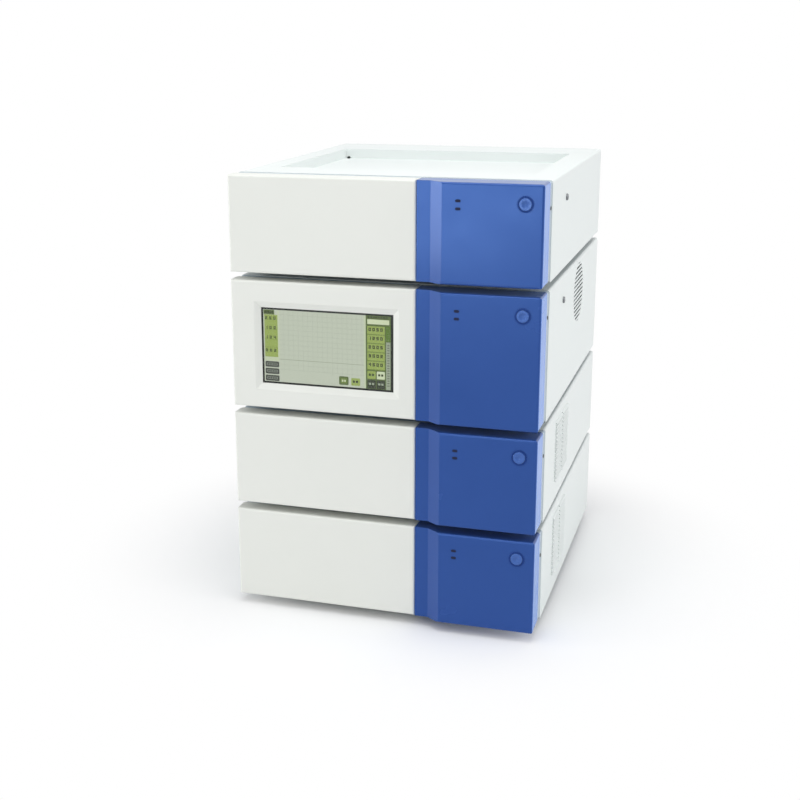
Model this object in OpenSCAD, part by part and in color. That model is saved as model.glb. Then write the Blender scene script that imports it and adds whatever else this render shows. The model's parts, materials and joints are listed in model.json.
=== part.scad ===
// A modular liquid chromatograph: two pumps, an absorbance detector with a
// touch screen and a column oven, stacked on one footprint.
// Millimetres. +X is to the right, +Y to the back, +Z up. The origin is on
// the bench, in the middle of the footprint.

/* [Stack] */
// Width of every module
stack_w = 370; // [350:2:400]
// Depth from the white front panels to the rear panels
stack_d = 428; // [410:2:470]
// Height of the oven and of each pump
module_h = 113; // [110:1:128]
// Height of the detector
detector_h = 153; // [148:1:180]
// Height of the feet between two modules
stack_foot_h = 9; // [6:0.5:14]
// Height of the feet on the bench
bench_foot_h = 12; // [8:0.5:18]

/* [Front] */
// Depth of the front assembly ahead of the casing
front_t = 34; // [32:0.5:40]
// Depth of the bulkhead's rim between casing and front
rim_t = 10; // [8:0.5:12]
// Width of the white panel
panel_w = 225; // [222:1:270]
// Width of the fascia's flat strip beside the panel
strip_w = 15.5; // [12:0.5:20]
// Width of the fascia's ramp
ramp_w = 15.5; // [12:0.5:20]
// How far the fascia's raised face stands ahead of the panels
fascia_rise = 11; // [8:0.5:14]
// Wall of the moulded parts
wall = 2.5; // [2:0.1:3]
// Gap round a door
door_gap = 1; // [0.8:0.1:1.4]

/* [Casing] */
// Thickness of the folded sheet
sheet = 1.2; // [1:0.1:1.5]
// Outer bend radius of the covers
bend_r = 3; // [2.5:0.1:4]
// Length of the solvent tray
tray_w = 310; // [280:2:316]
// Width of the solvent tray, front to back
tray_d = 249; // [220:1:256]
// Depth of the solvent tray
tray_h = 12.4; // [8:0.2:16]
// Diameter of the fan grille
grille_d = 76; // [66:1:76]
// Width of one column of louvres
louvre_w = 42; // [34:1:43]
// Rows of louvres
louvre_rows = 15; // [10:1:15]

/* [Controls] */
// Diameter of the power button's cap
button_d = 14; // [12:0.5:15]
// Travel of the power button
button_travel = 2.5; // [1.5:0.1:3]
// Length of a status lamp's lens
lamp_w = 6; // [5:0.5:8]
// Height of a status lamp's lens
lamp_h = 3; // [2.5:0.1:4]
// Width of the display glass
screen_w = 163.5; // [150:0.5:166]
// Height of the display glass
screen_h = 93.5; // [86:0.5:96]
// Width of the bevel round the display
bevel_w = 7.5; // [5:0.5:9]

/* [Fluidics] */
// Side of a pump head's block
head_w = 46; // [40:1:48]
// Diameter of a purge valve's knob
knob_d = 24; // [20:1:28]
// Length of the column's tube
column_l = 150; // [100:5:150]
// Outer diameter of the steel capillaries
capillary_d = 1.6; // [1.5:0.1:2]

/* [Fits] */
// Clearance between folded sheets
sheet_fit = 0.2; // [0.1:0.05:0.4]
// Radial clearance of a pin or stem that turns
running_fit = 0.05; // [0.02:0.01:0.1]
// Radial clearance round a button
button_fit = 0.3; // [0.25:0.05:0.5]
// Axial clearance beside a hinge lug
lug_fit = 0.4; // [0.3:0.05:0.6]

/* [Hidden] */
$fn = 48;

// Colours
white = "#eceeea";
blue = "#3f62ac";
grey = "#9fb0bc";
steel = "#b9bcbf";
alloy = "#c4c7c9";
black = "#24262a";
foam = "#d8d4c4";
brass = "#cbb069";
lens = "#16324a";
board_green = "#2f6b45";

// Heights of the modules' undersides, from the bench up
pump_a_z = bench_foot_h;
pump_b_z = pump_a_z + module_h + stack_foot_h;
detector_z = pump_b_z + module_h + stack_foot_h;
oven_z = detector_z + detector_h + stack_foot_h;
pump_zs = [pump_a_z, pump_b_z];
door_zs = [pump_a_z, pump_b_z, oven_z];
module_zs = [pump_a_z, pump_b_z, detector_z, oven_z];
module_hs = [module_h, module_h, detector_h, module_h];

// Depths: the footprint runs from the buttons to the mains inlets
button_proud = 1.2;
inlet_proud = 3;
half_w = stack_w / 2;
front_y = -(stack_d + inlet_proud - fascia_rise - button_proud) / 2;
case_y = front_y + front_t;
back_y = front_y + stack_d;
rim_y = case_y - rim_t;
raised_y = front_y - fascia_rise;

// Inside of the sheet casing
inner_w = stack_w - 2 * (sheet + sheet_fit);
inner_r = bend_r - sheet - sheet_fit;
flange_h = 14;
lip_w = 12;
lip_rise = 4;

// Screws of the covers and of the fascias
screw_r = 2;
screw_l = 6;
screw_head_r = 4;
screw_head_h = 2.2;
rear_screw_inset = 8;
rear_screw_rise = 12;
rear_screw_drop = 14;
fascia_screw_r = 1.5;
fascia_screw_l = 4;
fascia_screw_head_r = 2.2;
fascia_screw_head_h = 0.6;
fascia_screw_drop = 30;

// Vents, mains inlet and network socket in the rear panel
vent_x0 = -110;
vent_z0 = 34;
vent_slot_w = 46;
vent_slot_h = 2.6;
vent_slot_gap = 8;
vent_pitch = 6;
vent_columns = 3;
vent_margin = 26;
inlet_x = 120;
inlet_z = 30;
inlet_w = 48;
inlet_h = 27;
inlet_r = 4;
inlet_lip = 2;
inlet_depth = 20;
inlet_floor = 4;
socket_w = 24;
socket_h = 17;
socket_chamfer_r = 6;
contact_w = 2;
contact_h = 4;
contact_root = 1;
contact_setback = 3;
contact_places = [[-7, -2], [0, 2.5], [7, -2]];
port_x = 60;
port_z = 26;
port_w = 16;
port_h = 13;
port_l = 18;
port_proud = 0.5;
port_depth = 12;
jack_w = 12;
jack_h = 8;
latch_w = 6;
latch_h = 2;

// Control board and power supply on the floor of each module
post_h = 8;
post_r = 3;
post_inset = 6;
board_x = -165;
board_w = 120;
board_d = 90;
board_t = 1.6;
board_setback = 30;
chip_w = 28;
chip_t = 3;
sink_h = 8;
sink_fins = 6;
sink_pitch = 5;
sink_fin_t = 2;
supply_x = 40;
supply_w = 98;
supply_d = 160;
supply_h = 38;
supply_setback = 40;
supply_slots = 12;
supply_pitch = 11;
supply_slot_w = 4;

// Bulkhead, its compartment and the doors' hinges
rim_inset = 1;
split_x = -half_w + panel_w;
room_x0 = -half_w + 10;
room_x1 = split_x - 8;
room_margin = 8;
pump_room_d = 46;
oven_room_d = 48;
oven_foam = 8;
hinge_r = 5;
hinge_x = -half_w + hinge_r;
hinge_y = rim_y - door_gap - hinge_r;
pin_r = 2;
pin_over = 6;
lug_r = 4;
lug_h = 8;
lug_inset = 10;
magnet_r = 3;
magnet_t = 3;
magnet_inset = 4;
corner_r = 2;
duct_r = 4;
duct_inset = 14;
duct_rise = 30;
rib_t = 2;
rib_h = 3;

// Fascia: lamps, button and the board behind them
fascia_x0 = split_x + door_gap / 2;
fascia_x1 = half_w - rim_inset;
edge_r = 2.5;
fascia_corner_r = 3;
lamp_x = split_x + strip_w + ramp_w + 18.6;
lamp_drop = 20;
lamp_pitch = 8.7;
button_x = half_w - 21.4;
button_drop = 21.5;
bezel_proud = 0.5;
bezel_r = button_d / 2 + 2.1;
bezel_tube_l = 6;
switch_gap = 16;
switch_y = raised_y + wall + switch_gap;
switch_board_h = 32;
switch_margin = 14;
switch_side = 12;
switch_t = 4;
switch_post_r = 2.5;
switch_post_dx = 10;
switch_post_dz = 13;
collar_t = 1.5;
stem_r = 3;
cap_edge_r = 0.8;
dish_r = 8;
dish_depth = 1.2;
lamp_proud = 0.3;

// Vents and side screws
side_screw_y = front_y + 133;
side_screw_drop = 30;
louvre_y = front_y + 108;
louvre_gap = 4;
louvre_pitch = 5.2;
louvre_r = 2.4;
louvre_t = 0.9;
louvre_drop = 10;
fan_y = front_y + 258;
fan_drop = 44;
fan_w = 80;
fan_t = 25;
fan_x = half_w - sheet - fan_t;
fan_shaft_r = 2;
fan_hole_r = 2.1;
fan_hole_inset = 4.2;
strut_t = 3;
strut_w = 4;
hub_r = 18;
hub_gap = 1;
rotor_t = 18;
rotor_gap = 1;
blades = 7;
blade_t = 2;
blade_pitch = 38;
grille_slot_h = 2.8;
grille_pitch = 5.4;

// Display, near the middle of the white panel
screen_x = (split_x - half_w) / 2 + 4.7;
screen_z = detector_h / 2 - 0.9;
bevel_d = 4;
glass_t = 1.5;
glass_lip = 1;
ledge_t = 0.8;
module_t = 6;
driver_w = 120;
driver_h = 60;
plug_w = 30;
plug_h = 10;
plug_t = 5;
cable_slot_w = 40;
cable_slot_h = 12;
cable_slot_z = 20;
pillar_r = 3;
pillar_inset = 12;
pillar_dx = 89;

// Optics behind the detector's bulkhead
bench_x0 = -half_w + 17;
bench_w = 198;
bench_x1 = bench_x0 + bench_w;
bench_y0 = case_y + 36;
bench_y1 = bench_y0 + 180;
bench_z0 = 34;
bench_h = 62;
bench_wall = 6;
bench_floor_t = 8;
bench_leg_r = 7;
bench_rib_t = 3;
bench_rib_d = 5;
bench_ribs = 5;
beam_z = bench_z0 + 30;
beam_r = 6;
lamp_y = case_y + 90;
lamp_house_w = 58;
lamp_house_d = 68;
lamp_fins = 7;
lamp_fin_pitch = 6.6;
lamp_fin_gap = 3.4;
lamp_fin_d = 8;
cell_x = bench_x0 + 58;
cell_r = 14;
cell_flange = 4;
cell_l = 30;
cell_flange_l = 16;
cell_port_dx = 8;

// Pump compartment: heads from the casing's left side, manifold from the room's right
head_t = 24;
head_boss_t = 4;
head_xs = [-half_w + 52, -half_w + 112];
manifold_x = room_x1 - 43;
manifold_w = 34;
manifold_t = 22;
valve_af = 12;
valve_h = 16;
knob_t = 12;
knob_gap = 0.3;
knob_shoulder = 1;
knob_flutes = 12;
knob_rise = 4;
knob_stem_r = 3;
knob_stem_l = 11;
nose_r = 18;
head_r = 6;
head_screw_inset = 6;
head_screw_r = 4;
head_screw_h = 4;
head_hex_r = 1.8;
drive_x0 = -half_w + 22;
drive_x1 = -half_w + 142;
drive_d = 96;
drive_z0 = 10;
drive_z1 = 96;
motor_w = 57;
motor_l = 76;
motor_r = 4;
pump_mid_z = module_h / 2;
room_back_y = case_y + pump_room_d;
head_front_y = room_back_y - head_boss_t - head_t;
manifold_front_y = room_back_y - manifold_t;

// Oven compartment
oven_room_z0 = 12;
oven_room_z1 = module_h - 14;
block_w = column_l + 34;
block_h = 56;
block_t = 20;
groove_w = 3;
groove_d = 6;
groove_zs = [-22, -16, 16, 22];
oven_back_y = case_y + oven_room_d;
column_r = 3.2;
column_bore_r = 2.3;
clip_t = 1;
clip_w = 10;
clip_foot = 5;
clip_mouth = 4;
clip_spread = 50;
fitting_r = 8;
fitting_l = 14;
fitting_neck_r = 5;
fitting_neck_l = 6;
fitting_overlap = 3;
column_x = (room_x0 + room_x1) / 2;
column_y = oven_back_y - block_t - fitting_r - 1;
column_z = module_h / 2;
channel_r = fitting_r + 2;
channel_y = column_y + 6;
pad_t = 14;
pad_gap = 2;
pad_rim = 10;
pad_dish = 4;
foam_side = 4;

// Tray in the oven's top
tray_y = case_y + 62;
tray_flange_w = 10;
tray_front_flange = 1.5;
drain_r = 2.5;
drain_dx = 5;
drain_dy = 4;

// Feet, clear of the trays' flanges
foot_dx = 30;
foot_front = 26;
foot_back = 36;
foot_r = 8;
bench_foot_r1 = 10;
bench_foot_r2 = 12;

// ---- Outlines ----

// What a corner of radius r loses
module corner_cut(r) {
    if (r > 0) difference() {
        translate([-1, -1]) square(r + 1);
        translate([r, r]) circle(r);
    }
}

// Rectangle from p to q; r holds the radii at its four corners, counted
// anticlockwise from p
module round_rect(p, q, r) {
    size = q - p;
    translate(p) difference() {
        square(size);
        corner_cut(r[0]);
        translate([size[0], 0]) rotate(90) corner_cut(r[1]);
        translate(size) rotate(180) corner_cut(r[2]);
        translate([0, size[1]]) rotate(270) corner_cut(r[3]);
    }
}

// Slot with round ends, centred, w long and h high
module stadium(w, h) {
    square([w - h, h], center = true);
    for (s = [-1, 1]) translate([s * (w - h) / 2, 0]) circle(h / 2);
}

// ---- Directions of extrusion ----

// Outline in X and Z, drawn from y0 to y1
module along_y(y0, y1) {
    translate([0, y1, 0]) rotate([90, 0, 0]) linear_extrude(y1 - y0) children();
}

// Outline in Y and Z, drawn from x0 to x1
module along_x(x0, x1) {
    translate([x0, 0, 0]) rotate([90, 0, 90]) linear_extrude(x1 - x0) children();
}

// Block between two corners
module block(p, q) {
    translate(p) cube(q - p);
}

// Children once at the left and once, mirrored, at the right
module both_sides() {
    children();
    mirror([1, 0, 0]) children();
}

// Straight tube runs between points, with round knees
module tube_run(points, r) {
    for (i = [0 : len(points) - 2]) {
        a = points[i];
        b = points[i + 1];
        span = b - a;
        dist = norm(span);
        translate(a)
            rotate([0, acos(span[2] / dist), atan2(span[1], span[0])])
                cylinder(r = r, h = dist);
    }
    for (i = [1 : len(points) - 2]) translate(points[i]) sphere(r);
}

// ---- Sheet casing ----

// Wrap-around cover: top and two sides from one folded sheet
module cover_shell(h) {
    difference() {
        along_y(case_y, back_y)
            round_rect([-half_w, 0], [half_w, h], [0, 0, bend_r, bend_r]);
        along_y(case_y - 1, back_y + 1)
            round_rect([-half_w + sheet, -1], [half_w - sheet, h - sheet],
                       [0, 0, bend_r - sheet, bend_r - sheet]);
    }
    // Rear lips that the rear panel's screws hold
    both_sides()
        block([half_w - sheet - lip_w, back_y - 2 * sheet - sheet_fit, flange_h + lip_rise],
              [half_w - sheet / 2, back_y - sheet - sheet_fit, h - bend_r - 1]);
}

// One pressed louvre on the right side: a quarter-round hood over a slit
module louvre(z) {
    difference() {
        translate([0, 0, z]) rotate([90, 0, 0]) {
            translate([0, 0, -louvre_w]) linear_extrude(louvre_w)
                intersection() {
                    translate([half_w, 0]) circle(louvre_r);
                    translate([half_w - 0.1, 0]) square(louvre_r + 1);
                }
        }
        translate([0, louvre_w - louvre_t, z - 1]) rotate([90, 0, 0])
            linear_extrude(louvre_w - 2 * louvre_t) {
                translate([half_w, 1]) circle(louvre_r - louvre_t);
                translate([half_w - 1, 0]) square([louvre_r - louvre_t + 1, 1]);
            }
    }
}

// Two columns of louvres on the right side of a cover h high, from y0 back
module louvre_patch(h, y0, part) {
    for (col = [0, 1], row = [0 : louvre_rows - 1]) {
        z = h - louvre_drop - (row + 1) * louvre_pitch;
        translate([0, y0 + col * (louvre_w + louvre_gap), 0]) {
            if (part == "hoods") louvre(z);
            if (part == "slits")
                block([half_w - 2 * sheet, louvre_t, z],
                      [half_w, louvre_w - louvre_t, z + louvre_r - louvre_t]);
        }
    }
}

// Cover with louvres from y0 back at the left and, where right is true, at
// the right too; the children are cut out of it
module vented_cover(h, y0, right) {
    difference() {
        cover_shell(h);
        mirror([1, 0, 0]) louvre_patch(h, y0, "slits");
        if (right) louvre_patch(h, y0, "slits");
        rear_screw_holes(h);
        children();
    }
    mirror([1, 0, 0]) louvre_patch(h, y0, "hoods");
    if (right) louvre_patch(h, y0, "hoods");
}

// Places of the four screws in a rear panel h high
function rear_screw_places(h) = [
    for (s = [-1, 1], z = [flange_h + rear_screw_rise, h - rear_screw_drop])
        [s * (half_w - rear_screw_inset), back_y, z]
];

module rear_screw_holes(h) {
    for (p = rear_screw_places(h))
        translate(p) rotate([90, 0, 0]) translate([0, 0, -1])
            cylinder(r = screw_r, h = screw_l + 2);
}

module side_screw_holes(h) {
    both_sides() translate([half_w - 4, side_screw_y, h - side_screw_drop])
        rotate([0, 90, 0]) cylinder(r = screw_r, h = screw_l);
}

// Folded base with side flanges, posts for a board and the rear panel
module chassis_tray(h) {
    x = inner_w / 2;
    difference() {
        union() {
            block([-x, case_y, 0], [x, back_y, sheet]);
            both_sides() block([x - sheet, case_y, 0], [x, back_y, flange_h]);
            along_y(back_y - sheet, back_y)
                round_rect([-x, 0], [x, h - sheet - sheet_fit], [0, 0, inner_r, inner_r]);
            board_posts();
        }
        rear_screw_holes(h);
        rear_vents(h);
        inlet_cut();
        port_cut();
    }
}

// Rows of slots in the rear panel
module rear_vents(h) {
    rows = floor((h - vent_z0 - vent_margin) / vent_pitch);
    for (col = [0 : vent_columns - 1], row = [0 : rows - 1])
        translate([vent_x0 + col * (vent_slot_w + vent_slot_gap), 0, vent_z0 + row * vent_pitch])
            along_y(back_y - 2 * sheet, back_y + 1) stadium(vent_slot_w, vent_slot_h);
}

// ---- Rear connectors and boards, common to all modules ----

module inlet_body() {
    translate([inlet_x, inlet_z])
        square([inlet_w - 2 * inlet_lip, inlet_h - 2 * inlet_lip], center = true);
}

module inlet_cut() {
    along_y(back_y - 2 * sheet, back_y + 1) inlet_body();
}

module port_cut() {
    along_y(back_y - 2 * sheet, back_y + 1) translate([port_x, port_z])
        square([port_w, port_h], center = true);
}

// Appliance inlet: flange, body and socket
module mains_inlet() {
    difference() {
        union() {
            along_y(back_y, back_y + inlet_proud) translate([inlet_x, inlet_z])
                round_rect([-inlet_w, -inlet_h] / 2, [inlet_w, inlet_h] / 2,
                           [inlet_r, inlet_r, inlet_r, inlet_r]);
            along_y(back_y - inlet_depth, back_y) inlet_body();
        }
        along_y(back_y - inlet_depth + inlet_floor, back_y + inlet_proud + 1)
            translate([inlet_x, inlet_z])
                round_rect([-socket_w, -socket_h] / 2, [socket_w, socket_h] / 2,
                           [1, 1, socket_chamfer_r, socket_chamfer_r]);
        inlet_contact_set();
    }
}

// The inlet's three contacts, set into the socket's floor
module inlet_contact_set() {
    y0 = back_y - inlet_depth + inlet_floor - contact_root;
    for (p = contact_places)
        block([inlet_x + p[0] - contact_w / 2, y0, inlet_z + p[1] - contact_h / 2],
              [inlet_x + p[0] + contact_w / 2, back_y - contact_setback,
               inlet_z + p[1] + contact_h / 2]);
}

// Network jack: a block with a stepped socket
module data_port() {
    difference() {
        along_y(back_y - port_l, back_y + port_proud) translate([port_x, port_z])
            square([port_w, port_h], center = true);
        along_y(back_y - port_depth, back_y + 1) translate([port_x, port_z]) {
            square([jack_w, jack_h], center = true);
            translate([0, jack_h / 2]) square([latch_w, 2 * latch_h], center = true);
        }
    }
}

// Boxed power supply, with slots in its lid
module power_supply() {
    y0 = back_y - supply_setback - supply_d;
    margin = supply_slot_w * 3;
    difference() {
        block([supply_x, y0, sheet], [supply_x + supply_w, y0 + supply_d, sheet + supply_h]);
        for (i = [0 : supply_slots - 1])
            translate([supply_x + margin, y0 + margin + i * supply_pitch, sheet + supply_h - 2])
                cube([supply_w - 2 * margin, supply_slot_w, 3]);
    }
}

function board_places() = [
    for (x = [post_inset, board_w - post_inset], y = [post_inset, board_d - post_inset])
        [board_x + x, back_y - board_setback - board_d + y, sheet / 2]
];

module board_posts() {
    for (p = board_places()) translate(p) cylinder(r = post_r, h = post_h + sheet / 2);
}

// Circuit board with two connectors, a processor and its heat sink
module control_board() {
    translate([board_x, back_y - board_setback - board_d, sheet + post_h]) {
        cube([board_w, board_d, board_t]);
        translate([20, 30, board_t]) {
            cube([chip_w, chip_w, chip_t]);
            for (i = [0 : sink_fins - 1]) translate([i * sink_pitch, 0, chip_t])
                cube([sink_fin_t, chip_w, sink_h]);
        }
        translate([60, 4, board_t]) cube([50, 8, 9]);
        translate([70, 70, board_t]) cube([30, 14, 12]);
    }
}

// ---- Bulkhead, hinges and doors ----

// Front frame of a module; the right half is a pan behind the fascia
module front_frame(h) {
    x = half_w - rim_inset;
    difference() {
        along_y(rim_y, case_y)
            round_rect([-x, rim_inset], [x, h - rim_inset],
                       [corner_r, corner_r, corner_r, corner_r]);
        block([split_x + wall, rim_y - 1, rim_inset + wall],
              [x - wall, case_y - wall, h - rim_inset - wall]);
        fascia_screw_holes(h);
    }
}

// Frame with a compartment d deep behind the door, between z0 and z1
module compartment_frame(h, d, z0, z1) {
    difference() {
        union() {
            front_frame(h);
            block([room_x0 - wall, case_y - 1, z0 - wall],
                  [room_x1 + wall, case_y + d + wall, z1 + wall]);
            hinge_lugs(h);
        }
        block([room_x0, rim_y - 1, z0], [room_x1, case_y + d, z1]);
        magnet(h, 1);
        children();
    }
}

function lug_zs(h) = [lug_inset, h - lug_inset - lug_h];

module hinge_lugs(h) {
    for (z = lug_zs(h)) difference() {
        translate([0, 0, z]) linear_extrude(lug_h) {
            translate([hinge_x, hinge_y]) circle(lug_r);
            translate([hinge_x - lug_r, hinge_y]) square([2 * lug_r, rim_y - hinge_y + 1]);
        }
        translate([hinge_x, hinge_y, z - 1]) cylinder(r = pin_r, h = lug_h + 2);
    }
}

module door_pins(h) {
    for (z = lug_zs(h)) translate([hinge_x, hinge_y, z - pin_over])
        cylinder(r = pin_r, h = lug_h + 2 * pin_over);
}

// Magnet in the rim, and its hole where over is more than 0
module magnet(h, over = 0) {
    translate([room_x1 + magnet_inset, rim_y + magnet_t, h / 2]) rotate([90, 0, 0])
        cylinder(r = magnet_r, h = magnet_t + over);
}

// Outer form of a white front panel, its front edges rounded
module panel_form(h) {
    x1 = split_x - door_gap / 2;
    y1 = rim_y - door_gap;
    intersection() {
        linear_extrude(h)
            round_rect([-half_w, front_y], [x1, y1], [edge_r, edge_r, 0, hinge_r]);
        along_x(-half_w - 1, x1 + 1)
            round_rect([front_y, 0], [y1, h], [edge_r, 0, 0, edge_r]);
    }
}

// Hollow of a front panel, open to the back, that leaves the hinge column
module panel_hollow(h) {
    x1 = split_x - door_gap / 2 - wall;
    block([-half_w + 2 * hinge_r, front_y + wall, wall], [x1, rim_y, h - wall]);
    block([-half_w + wall, front_y + wall, wall],
          [-half_w + 2 * hinge_r + 1, hinge_y - hinge_r, h - wall]);
}

// Door: a moulded pan that turns on two pins in the bulkhead's lugs
module door(h) {
    difference() {
        panel_form(h);
        panel_hollow(h);
        for (z = lug_zs(h)) translate([hinge_x, hinge_y, 0]) {
            translate([0, 0, z - lug_fit])
                cylinder(r = norm([lug_r, hinge_r + door_gap]), h = lug_h + 2 * lug_fit);
            translate([0, 0, z - pin_over - lug_fit])
                cylinder(r = pin_r + running_fit, h = lug_h + 2 * (pin_over + lug_fit));
        }
    }
    door_ribs(h);
}

// Stiffening ribs behind the door's skin
module door_ribs(h) {
    x1 = split_x - door_gap / 2;
    for (i = [1 : 3])
        block([-half_w + i * panel_w / 4 - rib_t / 2, front_y + wall / 2, wall / 2],
              [-half_w + i * panel_w / 4 + rib_t / 2, front_y + wall + rib_h, h - wall / 2]);
    block([-half_w + wall / 2, front_y + wall / 2, (h - rib_t) / 2],
          [x1 - wall / 2, front_y + wall + rib_h, (h + rib_t) / 2]);
}

// ---- Fascia ----

// Plan of the fascia: flat strip, ramp, raised face. Each inset moves the
// outline inwards; the ramp keeps its wall's thickness
module fascia_plan(inset, y1) {
    bend = inset * tan(atan2(fascia_rise, ramp_w) / 2);
    x1 = fascia_x0 + strip_w + bend;
    x2 = x1 + ramp_w;
    difference() {
        polygon([
            [fascia_x0 + inset, y1],
            [fascia_x0 + inset, front_y + inset],
            [x1, front_y + inset],
            [x2, raised_y + inset],
            [fascia_x1 - inset, raised_y + inset],
            [fascia_x1 - inset, y1]
        ]);
        translate([fascia_x1 - inset, raised_y + inset]) rotate(90) corner_cut(edge_r);
    }
}

module fascia(h) {
    difference() {
        intersection() {
            linear_extrude(h) fascia_plan(0, rim_y);
            along_x(fascia_x0 - 1, half_w)
                round_rect([raised_y, 0], [rim_y, h], [edge_r, 0, 0, edge_r]);
            along_y(raised_y - 1, rim_y + 1)
                round_rect([fascia_x0 - 10, 0], [fascia_x1, h],
                           [0, fascia_corner_r, fascia_corner_r, 0]);
        }
        translate([0, 0, wall]) linear_extrude(h - 2 * wall) fascia_plan(wall, rim_y + 1);
        button_hole(h);
        lamp_holes(h);
    }
    fascia_posts(h);
}

module button_hole(h) {
    translate([button_x, raised_y, h - button_drop]) rotate([-90, 0, 0])
        translate([0, 0, -1]) cylinder(r = bezel_r - 1, h = wall + 2);
}

module lamp_holes(h) {
    for (i = [0, 1]) along_y(raised_y - 1, raised_y + wall + 1)
        translate([lamp_x, h - lamp_drop - i * lamp_pitch]) stadium(lamp_w, lamp_h);
}

// Where the board behind the fascia is held
function switch_post_places(h) = [
    for (x = [lamp_x - switch_post_dx, button_x + switch_post_dx], z = [-1, 1])
        [x, h - button_drop + z * switch_post_dz]
];

module fascia_posts(h) {
    for (p = switch_post_places(h)) along_y(raised_y + wall / 2, switch_y)
        translate(p) circle(switch_post_r);
}

// Board with the power switch, on four posts behind the fascia
module switch_board(h) {
    along_y(switch_y, switch_y + board_t)
        translate([(lamp_x + button_x) / 2, h - button_drop])
            square([button_x - lamp_x + 2 * switch_margin, switch_board_h], center = true);
    along_y(switch_y - switch_t, switch_y) translate([button_x, h - button_drop])
        square(switch_side, center = true);
}

module lamp_pair(h) {
    for (i = [0, 1]) along_y(raised_y - lamp_proud, switch_y)
        translate([lamp_x, h - lamp_drop - i * lamp_pitch]) stadium(lamp_w, lamp_h);
}

// Ring round the button, held by its flange on the fascia
module button_bezel(h) {
    translate([button_x, raised_y, h - button_drop]) rotate([-90, 0, 0]) difference() {
        union() {
            translate([0, 0, -bezel_proud]) cylinder(r = bezel_r, h = bezel_proud);
            cylinder(r = bezel_r - 1, h = bezel_tube_l);
        }
        translate([0, 0, -1]) cylinder(r = button_d / 2 + button_fit, h = bezel_tube_l + 2);
    }
}

// Plug with a rounded rim at its front end
module button_cap(l) {
    rotate_extrude() difference() {
        square([button_d / 2, l]);
        translate([button_d / 2, 0]) rotate(90) corner_cut(cap_edge_r);
    }
}

// Button: dished cap, collar behind the bezel and a stem to the switch
module power_button(h) {
    collar_z = bezel_tube_l + button_fit;
    stem_end = switch_y - switch_t - raised_y - button_travel - button_fit;
    translate([button_x, raised_y, h - button_drop]) rotate([-90, 0, 0]) difference() {
        union() {
            translate([0, 0, -button_proud]) button_cap(button_proud + collar_z + 1);
            translate([0, 0, collar_z]) cylinder(r = bezel_r - 1, h = collar_t);
            cylinder(r = stem_r, h = stem_end);
        }
        translate([0, 0, dish_depth - button_proud - dish_r]) sphere(dish_r, $fn = 96);
    }
}

module fascia_screw_holes(h) {
    both_sides() translate([half_w, rim_y + rim_t / 2, h - fascia_screw_drop])
        rotate([0, -90, 0]) cylinder(r = fascia_screw_r, h = fascia_screw_l + 2);
}

module fascia_screw_pair(h) {
    both_sides() translate([half_w - rim_inset, rim_y + rim_t / 2, h - fascia_screw_drop]) {
        rotate([0, 90, 0]) cylinder(r = fascia_screw_head_r, h = fascia_screw_head_h);
        rotate([0, -90, 0]) cylinder(r = fascia_screw_r, h = fascia_screw_l);
    }
}

// ---- Oven ----

module tray_cut() {
    block([-tray_w / 2, tray_y, module_h - 2 * sheet],
          [tray_w / 2, tray_y + tray_d, module_h + 1]);
}

module solvent_tray() {
    color(white) translate([0, 0, oven_z]) difference() {
        union() {
            tray_box(0, module_h - sheet - tray_h, module_h - sheet);
            tray_flange();
        }
        tray_box(sheet, module_h - tray_h, module_h + 1);
        tray_drain();
    }
}

// Box of the tray's outline, drawn in by an inset
module tray_box(inset, z0, z1) {
    block([-tray_w / 2 + inset, tray_y + inset, z0],
          [tray_w / 2 - inset, tray_y + tray_d - inset, z1]);
}

module tray_flange() {
    x = tray_w / 2 + tray_flange_w;
    block([-x, tray_y - tray_front_flange, module_h - 2 * sheet],
          [x, tray_y + tray_d + tray_flange_w, module_h - sheet]);
}

// Drain hole in the back left corner
module tray_drain() {
    translate([-tray_w / 2 + drain_dx, tray_y + tray_d - drain_dy, module_h - tray_h]) {
        translate([0, 0, -sheet - 1]) cylinder(r = drain_r, h = sheet + 2);
        rotate([-90, 0, 0]) cylinder(r = drain_r, h = drain_dy + 2);
    }
}

module oven_cover() {
    color(white) translate([0, 0, oven_z]) difference() {
        cover_shell(module_h);
        tray_cut();
        side_screw_holes(module_h);
        rear_screw_holes(module_h);
    }
}

module oven_chassis() {
    color(grey) translate([0, 0, oven_z]) chassis_tray(module_h);
}

module oven_bulkhead() {
    color(grey) translate([0, 0, oven_z])
        compartment_frame(module_h, oven_room_d, oven_room_z0, oven_room_z1)
            translate([room_x1 - duct_inset, oven_back_y - 1, column_z + duct_rise])
                rotate([-90, 0, 0]) cylinder(r = duct_r, h = wall + 2);
}

module oven_insulation() {
    color(foam) translate([0, 0, oven_z]) difference() {
        block([room_x0 - wall - foam_side, case_y, sheet + 1],
              [room_x1 + wall + oven_foam, oven_back_y + wall + oven_foam,
               oven_room_z1 + wall + oven_foam]);
        block([room_x0 - wall, case_y - 1, oven_room_z0 - wall],
              [room_x1 + wall, oven_back_y + wall, oven_room_z1 + wall]);
    }
}

module oven_fascia() {
    color(blue) translate([0, 0, oven_z]) fascia(module_h);
}

module oven_door() {
    color(white) translate([0, 0, oven_z]) door(module_h);
}

// Insulating pad on the inside of the oven's door
module oven_door_pad() {
    y0 = front_y + wall + rib_h;
    rim = pad_gap + pad_rim;
    color(foam) translate([0, 0, oven_z]) difference() {
        block([room_x0 + pad_gap, y0, oven_room_z0 + pad_gap],
              [room_x1 - pad_gap, y0 + pad_t, oven_room_z1 - pad_gap]);
        block([room_x0 + rim, y0 + pad_t - pad_dish, oven_room_z0 + rim],
              [room_x1 - rim, y0 + pad_t + 1, oven_room_z1 - rim]);
    }
}

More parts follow.
